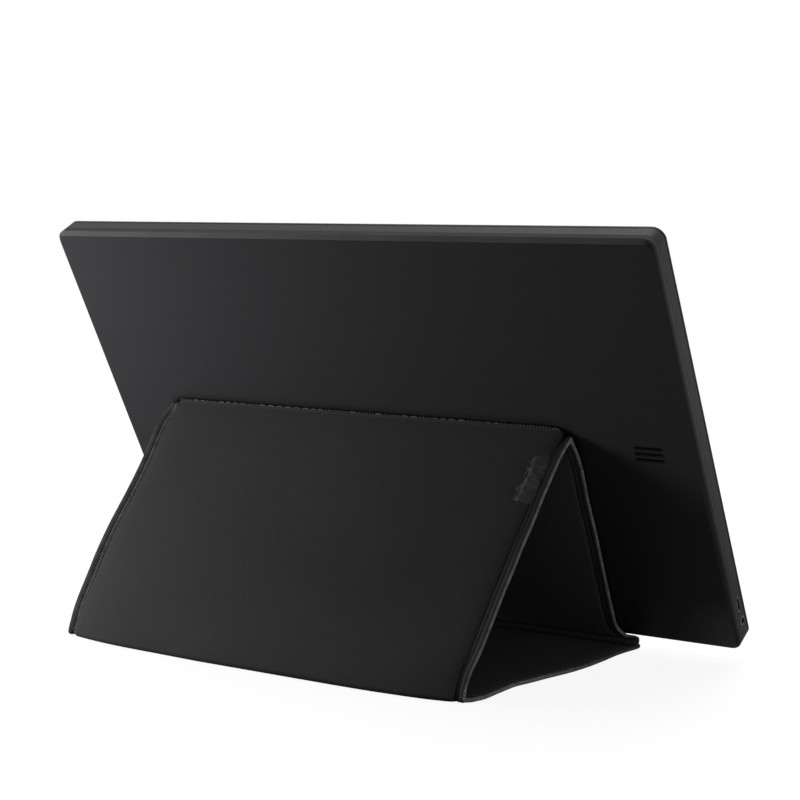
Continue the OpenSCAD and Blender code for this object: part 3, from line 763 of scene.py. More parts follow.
@dataclass(frozen=True)
class MouldedPlastic(Finish):
    """Opaque moulded plastic, rubber or resin with a fine grain."""

    colour: Colour
    roughness: float = 0.5
    gloss: float = 0.35
    grains: float = 2500.0
    depth: float = 0.03
    mottle: float = 0.1
    dust: float = 0.03
    grime: float = 1.0

    def lay(self, g: Coat) -> None:
        """Lays grain, dust and, where there is any, painted shade on the side walls.

        Args:
            g: Tree of the material.
        """
        grain = g.place(Effect.GRAIN, Grains_per_Metre=self.grains, Mottle=self.mottle)
        film = g.place(Effect.DUST, Amount=self.dust)["Mask"]
        shade = grain["Tone"]
        # Painted shade: the side walls darken towards the table.
        if self.grime < 1.0:
            shade = shade * g.place(Effect.GRIME, Least=self.grime)["Tone"]
        g.wear(Base_Color=g.mix(film, g.tint(self.colour, shade), DUST_COLOUR),
               Roughness=grain["Tone"].ramp(1 - self.mottle, 1 + self.mottle,
                                            self.roughness - 0.05, self.roughness + 0.05),
               Specular_IOR_Level=self.gloss)
        g.relief(grain["Height"], self.depth, 0.5)


# How each way of weaving calls its pitch and its unevenness.
WEAVE_INPUTS = {Effect.WEAVE: ("Threads_per_Metre", "Mottle"),
                Effect.RIB: ("Ribs_per_Metre", "Contrast")}


@dataclass(frozen=True)
class WovenCloth(Finish):
    """Woven cloth or thread; painted light at a crest, painted shade on faces turned up or aside."""

    colour: Colour
    threads: float = 2200.0
    depth: float = 0.08
    roughness: float = 0.9
    mottle: float = 0.1
    gloss: float = 0.02
    effect: Effect = Effect.WEAVE
    # Painted light at the crest: where it is, the highlight's gain, place and edge, and the shade's
    # tone and reach.
    crest: float | None = None
    painted_light: float = 1.3
    highlight_at: float = 1.6
    worn_edge: Range = (0.4, 0.9)
    shaded: float = 0.3
    shade_start: Range = (-4.0, -2.0)
    shade_end: Range = (0.3, 0.8)
    # Tones of the painted shade on faces turned up and on faces turned aside.
    up_shade: float = 1.0
    aside_shade: float = 0.45

    def lay(self, g: Coat) -> None:
        """Lays the weave and its wear.

        Args:
            g: Tree of the material.
        """
        values = zip(WEAVE_INPUTS[self.effect], (self.threads, self.mottle))
        weave = g.place(self.effect, **dict(values))
        tone = weave["Tone"]
        if self.crest is not None:
            tone = tone * self._crested(g.cloth().axes()[1], weave["Height"])
        # Painted shade on faces turned up or aside.
        if self.up_shade != 1.0:
            aside, _, up = g.normal().axes()
            tone = tone * up.ramp(0.5, 0.95, 1.0, self.up_shade)
            tone = tone * abs(aside).ramp(0.15, 0.5, 1.0, self.aside_shade)
        g.wear(Base_Color=g.tint(self.colour, tone),
               Roughness=weave["Height"].between(min(self.roughness + 0.08, 1.0),
                                                 self.roughness - 0.06),
               Specular_IOR_Level=self.gloss)
        g.relief(weave["Height"], self.depth, 0.6)

    def _crested(self, run: Signal, height: Signal) -> Signal:
        """Tone at the crest: painted shade before it, and a painted highlight in a line just past it.

        Args:
            run: Distance along the cloth.
            height: Height of the weave.

        Returns:
            The tone.
        """
        past = run - self.crest * MM
        dark = past.ramp_mm(*self.shade_start) * past.ramp_mm(*self.shade_end, 1.0, 0.0)
        line = abs(past - self.highlight_at * MM).ramp_mm(*self.worn_edge, 1.0, 0.0)
        painted_highlight = line * height.ramp(0.2, 0.8, 0.5, 1.0)
        return painted_highlight.between(1.0, self.painted_light) * dark.between(1.0, self.shaded)


@dataclass(frozen=True)
class CreasedSatin(Finish):
    """Thin crumpled label satin, with painted highlights along its creases and along one streak."""

    colour: Colour
    # Pale colour of the painted highlights on the creases and the streak.
    painted_highlight: Colour
    edge: Colour
    streak_x: float

    def lay(self, g: Coat) -> None:
        """Lays the satin, its creases and the streak, past which its other colour starts.

        Args:
            g: Tree of the material.
        """
        weave = g.place(Effect.WEAVE, Threads_per_Metre=4000.0, Mottle=0.2)
        cloth = g.cloth()
        bent = g.noise(cloth, 110.0, 3.0, Distortion=0.6)
        speck = g.noise(cloth, 420.0, 2.0)
        # Painted highlights: pale lines along the creases and along one streak.
        crease = abs(bent - 0.5).ramp(0.0, 0.03, 1.0, 0.0) * speck.ramp(0.4, 0.6, 0.1, 0.5)
        wander = bent.ramp(0.3, 0.7, -1.5 * MM, 1.5 * MM)
        past = cloth.axes()[0] - self.streak_x * MM + wander
        streak = abs(past).ramp_mm(0.3, 0.9, 1.0, 0.0) * speck.ramp(0.4, 0.55, 0.25, 1.0)
        painted_light = crease.most(streak)
        body = g.tint(g.bands(past, self.colour, (0.0, 1.2, self.edge)), weave["Tone"])
        g.wear(Base_Color=g.mix(painted_light, body, self.painted_highlight), Roughness=painted_light.between(0.5, 0.75),
               Specular_IOR_Level=0.15)
        g.relief(bent + weave["Height"] * 0.1, 1.2, 0.9)


@dataclass(frozen=True)
class RolledTape(Finish):
    """Ribbed tape, sewn flat on its inner band and rolled round the edge of the cover.

    On the open side of the stand the fold shows a pale line, a painted highlight, darker low
    towards the tip and with a paler second line low down; the other side shows the whole roll.
    """

    # Pale colour of the painted highlight along the near side's fold.
    fold: Colour
    inner: Colour
    roll: Colour
    near_roll: Colour
    band: Colour
    groove: Colour
    middle_x: float
    ribs: float = 600.0
    side_blend: float = 120.0
    paler_below: Range = (60.0, 75.0)

    def lay(self, g: Coat) -> None:
        """Lays the bands of the tape, which follow its girth in millimetres from the edge.

        Args:
            g: Tree of the material.
        """
        ribs = g.place(Effect.RIB, Ribs_per_Metre=self.ribs, Contrast=0.55)
        _, girth, _ = g.cloth().axes()
        out = abs(girth)
        x, y, height = g.spot().axes()
        # Only the near side gets the pale fold line, a painted highlight; the far side is the whole
        # roll.
        far = x.ramp_mm(self.middle_x - self.side_blend, self.middle_x + self.side_blend)
        # Darker low on the base towards the tip, and paler below about 60 mm on the second line.
        tip_tone = height.ramp_mm(3.0, 6.0).most(y.ramp_mm(-45.0, 15.0, 0.3, 1.0))
        low, dark = (g.tint(self.near_roll, height.ramp_mm(*self.paler_below, *tones))
                     for tones in ((1.0, 0.5), (0.8, 0.62)))
        near = g.bands(out, g.tint(self.fold, tip_tone), (1.2, 1.5, dark), (2.1, 2.5, low),
                       (3.4, 3.9, dark))
        whole = g.bands(out, self.roll, (3.4, 3.9, self.groove), (4.5, 4.9, self.band),
                        (6.1, 6.6, self.groove))
        inside = girth.ramp_mm(-1.9, -1.5, 1.0, 0.0)
        colour = g.mix(inside, g.mix(far, near, whole), self.inner)
        smooth = (out.ramp_mm(1.9, 2.3) * far.between(1.0, 0.0)).most(inside)
        g.wear(Base_Color=g.tint(colour, smooth.between(ribs["Tone"], 1.0)),
               Roughness=ribs["Height"].between(0.85, 0.55), Specular_IOR_Level=0.04)
        g.relief(ribs["Height"] * smooth.between(1.0, 0.2), 0.18, 0.8)


@dataclass(frozen=True)
class BareMetal(Finish):
    """Rolled, plated or tinned metal."""

    colour: Colour
    roughness: float = 0.35
    grains: float = 900.0

    def lay(self, g: Coat) -> None:
        """Lays the metal with its grain.

        Args:
            g: Tree of the material.
        """
        grain = g.place(Effect.GRAIN, Grains_per_Metre=self.grains, Mottle=0.12)
        g.wear(Base_Color=g.tint(self.colour, grain["Tone"]), Metallic=1.0,
               Roughness=grain["Height"].ramp(0.3, 0.7, self.roughness - 0.08,
                                              self.roughness + 0.1))
        g.relief(grain["Height"], 0.02, 0.4)


@dataclass(frozen=True)
class ClearPlastic(Finish):
    """Clear or milky plastic that passes light."""

    colour: Colour
    clear: float = 0.8
    roughness: float = 0.2

    def lay(self, g: Coat) -> None:
        """Lays the plastic with its grain.

        Args:
            g: Tree of the material.
        """
        grain = g.place(Effect.GRAIN, Grains_per_Metre=700.0, Mottle=0.05)
        g.wear(Base_Color=g.tint(self.colour, grain["Tone"]), Roughness=self.roughness,
               Transmission_Weight=self.clear)
        g.relief(grain["Height"], 0.02, 0.3)


@dataclass(frozen=True)
class CircuitBoard(Finish):
    """Green board with copper tracks under the mask and tinned pads."""

    colour: Colour = (0.012, 0.11, 0.05)
    tin: Colour = (0.55, 0.55, 0.52)

    def lay(self, g: Coat) -> None:
        """Lays tracks, pads and grain.

        Args:
            g: Tree of the material.
        """
        spot = g.spot()
        tracks = g.out("TexBrick", "Color", spot, (1.0, 1.0, 1.0), (0.8, 0.8, 0.8),
                       (1.9, 1.9, 1.9), Scale=90.0, Mortar_Size=0.06, offset=0.37)
        pad = g.out("TexVoronoi", "Distance", Vector=spot, Scale=320.0).ramp(0.16, 0.2, 1.0, 0.0)
        grain = g.place(Effect.GRAIN, Grains_per_Metre=1500.0, Mottle=0.1)
        mask = g.out("VectorMath", "Vector", tracks, self.colour, operation="MULTIPLY")
        g.wear(Base_Color=g.mix(pad, mask, self.tin), Metallic=pad,
               Roughness=pad.between(0.35, 0.28))
        g.relief(grain["Height"], 0.02, 0.4)


@dataclass(frozen=True)
class DisplayGlass(Finish):
    """Dark display with a black printed border round the picture area."""

    half_w: float
    half_h: float
    middle: Vector
    up: Vector
    colour: Colour = (0.0065, 0.0072, 0.0085)

    def lay(self, g: Coat) -> None:
        """Lays the dark picture area and its border.

        Args:
            g: Tree of the material.
        """
        spot = g.spot()
        side = abs(spot.axes()[0] - self.middle.x)
        rise = abs(spot.along(self.up) - self.middle.dot(self.up))
        past = (side - self.half_w * MM).most(rise - self.half_h * MM)
        grain = g.place(Effect.GRAIN, Grains_per_Metre=6000.0, Mottle=0.06)
        dark = g.tint(self.colour, grain["Tone"])
        g.wear(Base_Color=g.bands(past, dark, (0.0, 0.2, DEEP_BLACK)),
               Roughness=grain["Height"].ramp(0.3, 0.7, 0.24, 0.34), Specular_IOR_Level=0.45)
        g.relief(grain["Height"], 0.01, 0.3)


# ---------------------------------------------------------------------------- layout


@dataclass(frozen=True)
class Layout:
    """Where the case and the folds stand, read from the frame's own joints."""

    stand_x: float
    ridge: np.ndarray
    heel: np.ndarray
    lean: float
    ridge_up: float = 137.5
    leg_y: float = 1.55
    foot: float = 136.8
    rear_len: float = 162.0
    base_len: float = 180.0
    half_t: float = 1.25

    @classmethod
    def from_frame(cls) -> "Layout":
        """Reads the joints.

        Returns:
            The layout.
        """
        joints = {joint["name"]: joint for joint in frame["joints"]}
        ridge, heel = (np.array(joints[name]["pos_m"], float) / MM
                       for name in ("ridge_hinge", "heel_hinge"))
        _, out_y, out_z = joints["cover_pull"]["axis"]
        return cls(stand_x=float(ridge[0]), ridge=ridge[1:], heel=heel[1:],
                   lean=math.atan2(-out_z, out_y))

    @property
    def back(self) -> np.ndarray:
        """Outward normal of the case's back, in Y and Z."""
        return np.array([math.cos(self.lean), -math.sin(self.lean)])

    @property
    def rise(self) -> np.ndarray:
        """Direction up the case, in Y and Z."""
        return np.array([math.sin(self.lean), math.cos(self.lean)])

    @property
    def up_rear(self) -> np.ndarray:
        """Direction up the rear panel, in Y and Z."""
        return unit(self.ridge - self.heel)

    @property
    def case(self) -> np.ndarray:
        """The case's lower back edge, in Y and Z."""
        return self.ridge - self.rise * self.ridge_up - self.back * self.leg_y

    def on_case(self, x: float, depth: float, height: float) -> Vector:
        """A point of the case in metres: depth behind the back face, height up it."""
        return Vector((x, *(self.case + self.back * depth + self.rise * height))) * MM


# ---------------------------------------------------------------------------- folded strip


class Face(Enum):
    """The two faces of the folded cover."""

    OUTER = 1.0
    INNER = -1.0


class Part(Enum):
    """The panels of the cover, in order along the strip."""

    LEG = 0
    REAR = 1
    BASE = 2


class Fold(Enum):
    """The cover's folds, with the bodies before and after each."""

    RIDGE = ("leg_panel", "rear_panel")
    HEEL = ("rear_panel", "base_panel")


@dataclass(frozen=True)
class Strip:
    """Stations along the folded cover, from the leg's foot over the ridge and heel to the tip.

    Each array has one row for a station: outer and inner surface points in Y and Z, the distance
    run, the half-widths on the -X and +X sides, the panel and the distance from its own fold.
    """

    outer: np.ndarray
    inner: np.ndarray
    run: np.ndarray
    near: np.ndarray
    far: np.ndarray
    part: np.ndarray
    along: np.ndarray

    @property
    def middle(self) -> np.ndarray:
        """Mid-thickness points."""
        return (self.outer + self.inner) / 2

    @property
    def normal(self) -> np.ndarray:
        """Outward unit normals."""
        return unit(self.outer - self.inner)

    @property
    def half(self) -> np.ndarray:
        """Half the thickness at each station."""
        return np.linalg.norm(self.outer - self.inner, axis=1) / 2

    @property
    def crest(self) -> float:
        """Distance run at the ridge's highest outer point."""
        return float(self.run[int(np.argmax(self.outer[:, 1]))])

    def on(self, part: Part) -> np.ndarray:
        """Which stations lie on a panel."""
        return self.part == part.value

    def pick(self, keep: np.ndarray) -> "Strip":
        """The strip with only some of its stations."""
        return Strip(**{name: rows[keep] for name, rows in vars(self).items()})


# Half-widths of the panels on the near and the far side, against the distance from the ridge (leg)
# or the heel (rear, base).  The near side is -X, where the open end of the stand shows its edges.
HALF_WIDTHS: dict[Part, tuple[list[Point], list[Point]]] = {
    Part.LEG: (
        [(0, 134.9), (5, 134.8), (12, 135.1), (24, 135.2), (44, 134.2), (66, 133.8),
         (88, 132.9), (109, 132.1), (124, 131.8), (137, 131.2)],
        [(0, 134.2), (12, 133.6), (45, 132.4), (90, 131.6), (137, 130.8)]),
    Part.REAR: (
        [(0, 130.4), (8, 130.0), (16, 130.4), (27, 132.2), (36, 132.8), (47, 133.1), (61, 133.0),
         (75, 133.2), (90, 133.2), (105, 133.6), (119, 133.6), (138, 134.0), (157, 134.5),
         (162, 134.7)],
        [(0, 129.3), (14, 129.8), (22, 129.5), (37, 129.5), (45, 130.1), (53, 131.0),
         (61, 131.6), (70, 132.2), (95, 132.3), (111, 132.8), (120, 133.4), (136, 135.2),
         (146, 136.0), (154, 135.6), (162, 134.2)]),
    Part.BASE: (
        [(0, 130.9), (6, 133.4), (13, 134.9), (20, 135.1), (28, 134.8), (44, 134.1), (53, 134.0),
         (65, 136.1), (78, 138.0), (91, 140.3), (98, 141.4), (113, 142.6), (131, 142.7),
         (152, 142.0), (161, 142.4), (168, 143.2), (180, 143.5)],
        [(0, 129.3), (60, 131.0), (120, 137.5), (180, 143.5)]),
}

# Settling of the soft folds on the near and the far side, against the distance from the middle: how
# far the heel lies forward, and how far the ridge drops towards its ends.
HEEL_PULL: tuple[list[Point], list[Point]] = (
    [(60, 0), (80, 0.5), (92, 1.4), (103, 2.3), (113, 3.7), (123, 6.0), (131, 8.4), (137, 10.2)],
    [(30, 0), (48, 0.9), (62, 1.5), (77, 2.1), (92, 3.2), (109, 5.6), (120, 7.8), (130, 10.3)])
RIDGE_DROP: tuple[list[Point], list[Point]] = (
    [(118, 0), (124, 0.4), (128, 1.1), (132, 2.6), (135.5, 4.6), (139, 6.4)],
    [(126, 0), (130, 0.2), (132.5, 0.8), (134.5, 2.0)])

# Distances of the closest stations from the leg's foot and from the base's tip.
FOOT_STEPS = (0, 0.12, 0.4, 0.9, 1.6, 2.6, 4, 5.6, 7.6, 10)
TIP_STEPS = (8, 5.5, 3.6, 2.0, 1.0, 0.45, 0.15, 0.0)

# One station: outer point, inner point, panel and distance from the panel's fold.
Station = tuple[np.ndarray, np.ndarray, int, float]


@dataclass(frozen=True)
class StripBuilder:
    """Lays out the stations of the folded cover.

    The stations right beside a fold have their outer point closer to it than their inner one.
    """

    layout: Layout
    ridge_bend: float = 0.9
    heel_bend: float = 1.9
    crease: float = 0.3
    bend_steps: int = 8
    flare_w: float = 10.0
    flare_h: float = 10.5
    tip_hem: float = 5.4
    by_ridge: tuple[float, float, float] = (3.6, 3.0, 4.0)
    by_heel: tuple[float, float, float] = (4.8, 4.2, 5.6)

    def _fold(self, at: np.ndarray, ways: tuple[np.ndarray, np.ndarray],
              outs: tuple[np.ndarray, np.ndarray], bend: float,
              marks: tuple[tuple[Part, float], tuple[Part, float]]) -> list[Station]:
        """Stations round a fold.

        Args:
            at: Fold axis.
            ways: Directions from the fold along the panel before it and the one after it.
            outs: Outward normals before and after the fold.
            bend: Radius of the outer surface.
            marks: Panel and distance that the stations before and after the middle carry.

        Returns:
            The stations.
        """
        half_t = self.layout.half_t
        out = -unit(ways[0] + ways[1])
        reach = math.sin(math.acos(float(np.clip(ways[0] @ ways[1], -1, 1))) / 2)
        first, last = (math.atan2(normal[1], normal[0]) for normal in outs)
        turn = (last - first + math.pi) % (2 * math.pi) - math.pi
        angles = first + turn * np.linspace(0, 1, self.bend_steps + 1)
        ray = np.stack([np.cos(angles), np.sin(angles)], 1)
        outer = at + out * (half_t - bend) / reach + ray * bend
        inner = at - out * (half_t + self.crease) / reach + ray * self.crease
        sides = (marks[int(k > self.bend_steps // 2)] for k in range(len(angles)))
        return [(over, under, part.value, mark)
                for over, under, (part, mark) in zip(outer, inner, sides)]

    def _flat(self, origin: np.ndarray, way: np.ndarray, out: np.ndarray, part: Part,
              places: Iterable[tuple[float, float, float]]) -> list[Station]:
        """Stations on a flat panel.

        Args:
            origin: Point from which distances along the panel run.
            way: Direction along the panel.
            out: Outward normal.
            part: The panel.
            places: For each station the distance that it carries, and the distances of its outer
                and its inner point.

        Returns:
            The stations.
        """
        half = out * self.layout.half_t
        return [(origin + way * over + half, origin + way * under - half, part.value, mark)
                for mark, over, under in places]

    def build(self) -> Strip:
        """Makes the strip.

        Returns:
            The strip.
        """
        lay = self.layout
        length = float(np.linalg.norm(lay.heel - lay.ridge))
        leg_way, leg_out = -lay.rise, -lay.back
        rear_way = -lay.up_rear
        rear_out = np.array([-rear_way[1], rear_way[0]])
        base_way, base_out = np.array([-1.0, 0.0]), np.array([0.0, -1.0])
        end = lay.base_len - self.tip_hem
        ridge_mark, *by_ridge = self.by_ridge
        heel_mark, *by_heel = self.by_heel
        leg = [*(lay.foot - step for step in FOOT_STEPS), *np.linspace(lay.foot - 13, 6, 34)]
        rear = [*np.linspace(6, length / 2, 20), *np.linspace(length / 2, length - 8, 20)[1:]]
        base = [*np.linspace(8, end - 12, 40), *(end - step for step in TIP_STEPS)]
        stations = [
            *self._flat(lay.ridge, leg_way, leg_out, Part.LEG,
                        [*((v, v, v) for v in leg), self.by_ridge]),
            *self._fold(lay.ridge, (leg_way, rear_way), (leg_out, rear_out), self.ridge_bend,
                        ((Part.LEG, 0.0), (Part.REAR, length))),
            *self._flat(lay.ridge, rear_way, rear_out, Part.REAR,
                        [(length - ridge_mark, *by_ridge), *((length - v, v, v) for v in rear),
                         (heel_mark, *(length - reach for reach in by_heel))]),
            *self._fold(lay.heel, (-rear_way, base_way), (rear_out, base_out), self.heel_bend,
                        ((Part.REAR, 0.0), (Part.BASE, 0.0))),
            *self._flat(lay.heel, base_way, base_out, Part.BASE,
                        [self.by_heel, *((v, v, v) for v in base)]),
        ]
        outer, inner, part, along = (np.array(column) for column in zip(*stations))
        near, far = np.zeros(len(part)), np.zeros(len(part))
        for panel, curves in HALF_WIDTHS.items():
            mine = part == panel.value
            for side, curve in zip((near, far), curves):
                side[mine] = smooth_curve(along[mine], curve)
        climb = np.clip((lay.foot - along) / self.flare_h, 0, 1)
        flare = self.flare_w * (1 - np.sqrt(1 - (1 - climb) ** 2)) * (part == Part.LEG.value)
        run = travelled((outer + inner) / 2)
        return Strip(outer, inner, run, near + flare, far + flare, part, along)


# Height of cloth over the board's half thickness, against the distance from the panel's edge.
CLOTH_RISE = [(5.4, 0.40), (5.6, 0.66), (6.0, 0.84), (6.9, 0.95), (8.4, 0.985), (11.0, 1.0)]


@dataclass(frozen=True)
class CoverShape:
    """Turns stations and columns into points on the sewn cover."""

    layout: Layout
    puff: float = 2.1
    puff_start: float = 5.6
    puff_reach: float = 5.0
    fold_reach: float = 14.0
    ripple: float = 0.16
    far_tape: float = 1.3
    heel_fade: float = 22.0
    ridge_fade: float = 10.0
    fine: float = 20.0

    @staticmethod
    def _settled(aside: np.ndarray, curves: tuple[list[Point], list[Point]], away: np.ndarray,
                 fade: float) -> np.ndarray:
        """How far the cover settles at a soft fold.

        Args:
            aside: Place across the cover from its middle.
            curves: Settling at the fold itself, on the near and the far side.
            away: Distance from the fold.
            fade: Distance over which the settling fades.

        Returns:
            The settling in millimetres.
        """
        near, far = (smooth_curve(np.abs(aside), curve) for curve in curves)
        return np.where(aside < 0, near, far) * np.exp(-((away[:, None] / fade) ** 1.5))

    def displace(self, points: np.ndarray, rows: Strip) -> np.ndarray:
        """Moves points as the soft folds settle: heel corners pulled in, ridge ends rounded off.

        Args:
            points: Rows x columns x 3 positions.
            rows: The stations of those rows.

        Returns:
            The moved points.
        """
        moved = points.copy()
        aside = points[..., 0] - self.layout.stand_x
        leg, rear = rows.on(Part.LEG), rows.on(Part.REAR)
        to_heel = np.where(leg, FAR, rows.along)
        from_ridge = np.clip(self.layout.rear_len - rows.along, 0, None)
        to_ridge = np.where(leg, rows.along, np.where(rear, from_ridge, FAR))
        moved[..., 1] -= self._settled(aside, HEEL_PULL, to_heel, self.heel_fade)
        moved[..., 2] -= self._settled(aside, RIDGE_DROP, to_ridge, self.ridge_fade)
        return moved

    def across(self, rows: Strip) -> tuple[np.ndarray, np.ndarray]:
        """Columns across the cloth: fine ones near both edges and even ones between them.

        Args:
            rows: Stations.

        Returns:
            X of each column at each station, and its distance from the nearest edge.
        """
        edge = np.array([place for place, _ in CLOTH_RISE] + [15.0, self.fine])
        low, high = -rows.near[:, None], rows.far[:, None]
        share = np.linspace(0, 1, 58)[1:-1]
        middle = low + self.fine + (high - low - self.fine * (1 + self.far_tape)) * share
        x = np.concatenate([low + edge, middle, high - edge[::-1] * self.far_tape], 1)
        return x + self.layout.stand_x, np.minimum(x - low, (high - x) / self.far_tape)

    def swelling(self, away: np.ndarray, along: np.ndarray, x: np.ndarray) -> np.ndarray:
        """How far the rear panel's soft outer cloth stands over the plain panel.

        Args:
            away: Distance from the nearest edge.
            along: Distance from the heel.
            x: Place across the cover.

        Returns:
            The height in millimetres.
        """
        to_fold = np.clip(np.minimum(along, self.layout.rear_len - along), 0, None)
        soft = 1 - np.exp(-to_fold / self.fold_reach)
        inside = np.clip(away - self.puff_start, 0, None)
        full = self.puff * (1 - np.exp(-inside / self.puff_reach))
        return soft * (full + self.ripple * np.sin(x / 41 + along / 37) * np.sin(along / 29))

    def surface(self, rows: Strip, face: Face, sink: float = 0.0) -> tuple[np.ndarray, np.ndarray]:
        """Points of the cloth's surface.

        Args:
            rows: Stations.
            face: Which face of the cover.
            sink: Depth below the surface in millimetres, for the cloth's back.

        Returns:
            Rows x columns x 3 points, and rows x columns x 2 cloth coordinates.
        """
        x, away = self.across(rows)
        along = rows.along[:, None]
        to_tip = np.where(rows.on(Part.BASE)[:, None], self.layout.base_len - along, FAR)
        away = np.minimum(away, to_tip)
        lift = rows.half[:, None] * np.interp(away, *zip(*CLOTH_RISE)) - sink
        if face is Face.OUTER:
            lift = lift + rows.on(Part.REAR)[:, None] * self.swelling(away, along, x)
        out = rows.normal[:, None, :] * face.value * lift[..., None]
        points = spatial(x, rows.middle[:, None, :] + out)
        return self.displace(points, rows), paired(x, rows.run[:, None])


# Profile of the rolled edge tape: distance in from the edge, and height as a share of the half
# thickness.  It goes from the inner face round the edge to the outer face.
TAPE_SIDE = [(6.1, 0.25), (5.55, 0.50), (5.15, 0.82), (4.3, 0.88), (3.8, 0.78), (3.3, 0.60),
             (2.85, 0.70), (2.2, 0.96), (1.35, 1.04), (0.6, 0.86), (0.14, 0.48)]
TAPE = np.array([*((reach, -height) for reach, height in TAPE_SIDE), (0.0, 0.0), *TAPE_SIDE[::-1]])

# Shape of a stitch: share of its length, height and thickness against the thread's radius.
STITCH = np.array([(0.0, -0.9, 0.45), (0.12, 0.1, 0.85), (0.35, 0.75, 1.0),
                   (0.65, 0.75, 1.0), (0.88, 0.1, 0.85), (1.0, -0.9, 0.45)])

# Runs of stitches along the ridge: the length of a stitch and how many follow each other.
RIDGE_RUNS = ((1.1, 6), (1.3, 4), (5.4, 1), (4.2, 2))


class Seam:
    """A line on the cloth along which stitches are laid."""

    def __init__(self, line: np.ndarray, out: np.ndarray, side: np.ndarray) -> None:
        """Keeps the line.

        Args:
            line: Its points.
            out: Outward normals at them.
            side: Sideways directions at them.
        """
        self.rows = np.concatenate([line, out, side], 1)
        self.run = travelled(line)

    def stitch(self, parts: MeshParts, start: float, length: float, radius: float,
               slant: float = 0.0) -> None:
        """Adds one stitch: a short thread that dives into the cloth at both ends.

        Args:
            parts: Mesh that takes it.
            start: Distance at which the stitch starts.
            length: Length of the stitch.
            radius: Radius of the thread.
            slant: Sideways move over the stitch, as a share of its length.
        """
        share, lift, thick = STITCH.T
        at = start + share * length
        rows = np.stack([np.interp(at, self.run, column) for column in self.rows.T], 1)
        centre, normal, aside = rows[:, :3], unit(rows[:, 3:6]), unit(rows[:, 6:])
        centre = (centre + normal * (lift * radius)[:, None]
                  + aside * ((share - 0.5) * slant * length)[:, None])
        turn = np.linspace(0, 2 * math.pi, 7)[:-1]
        ray = (normal[:, None, :] * np.sin(turn)[None, :, None]
               + aside[:, None, :] * np.cos(turn)[None, :, None])
        rings = centre[:, None, :] + (thick * radius)[:, None, None] * ray
        parts.add_tube(rings, paired(at[:, None], turn * radius))


@dataclass
class EdgePath:
    """A run of the cover's edge, along which tape and stitches are laid."""

    points: np.ndarray
    normals: np.ndarray
    half: np.ndarray
    width: np.ndarray
    seam_inset: float = 3.3
    seam_lift: float = 0.46
    stitch_pitch: float = 3.2
    stitch_len: float = 2.3
    thread_r: float = 0.16

    def _inward(self) -> np.ndarray:
        """Directions from the edge into the panel."""
        return unit(np.cross(unit(np.gradient(self.points, axis=0)), self.normals))

    def reversed(self) -> "EdgePath":
        """The same edge, run the other way."""
        return EdgePath(self.points[::-1], self.normals[::-1], self.half[::-1], self.width[::-1])

    def sweep(self, parts: MeshParts) -> None:
        """Adds the tape along the path.

        Args:
            parts: Mesh that takes it.
        """
        girth = travelled(TAPE * [1, 1.25])
        girth -= girth[len(girth) // 2]
        reach, height = TAPE.T
        rings = (self.points[:, None, :]
                 + self._inward()[:, None, :] * (reach * self.width[:, None])[..., None]
                 + self.normals[:, None, :] * (height * self.half[:, None])[..., None])
        parts.add_tube(rings, paired(travelled(self.points)[:, None], girth))

    def stitches(self, parts: MeshParts, face: Face, rng: random.Random) -> None:
        """Adds a row of stitches.

        Args:
            parts: Mesh that takes them.
            face: Face on which they lie.
            rng: Source of the small unevenness.
        """
        inward = self._inward()
        line = (self.points + inward * (self.seam_inset * self.width)[:, None]
                + self.normals * (face.value * self.seam_lift * self.half)[:, None])
        seam = Seam(line, self.normals * face.value, inward)
        place = self.stitch_pitch
        while place + self.stitch_len < seam.run[-1]:
            seam.stitch(parts, place, self.stitch_len, self.thread_r, rng.uniform(-0.12, 0.12))
            place += self.stitch_pitch * rng.uniform(0.96, 1.04)


# ---------------------------------------------------------------------------- sub-assemblies


# Rings of the lip's hem from below: height over its bottom, or depth under its top, and inset.
LIP_SIDE = ((0.02, 1.1), (0.25, 0.4), (0.9, 0.05), (1.85, 0.0), (2.8, 0.06))
LIP_RIM = ((0.3, 0.42), (0.06, 1.0), (0.0, 1.7), (0.12, 2.15), (0.5, 2.45), (0.12, 2.8),
           (0.0, 3.2), (0.0, 4.4))
LIP_GROOVE = 2.45


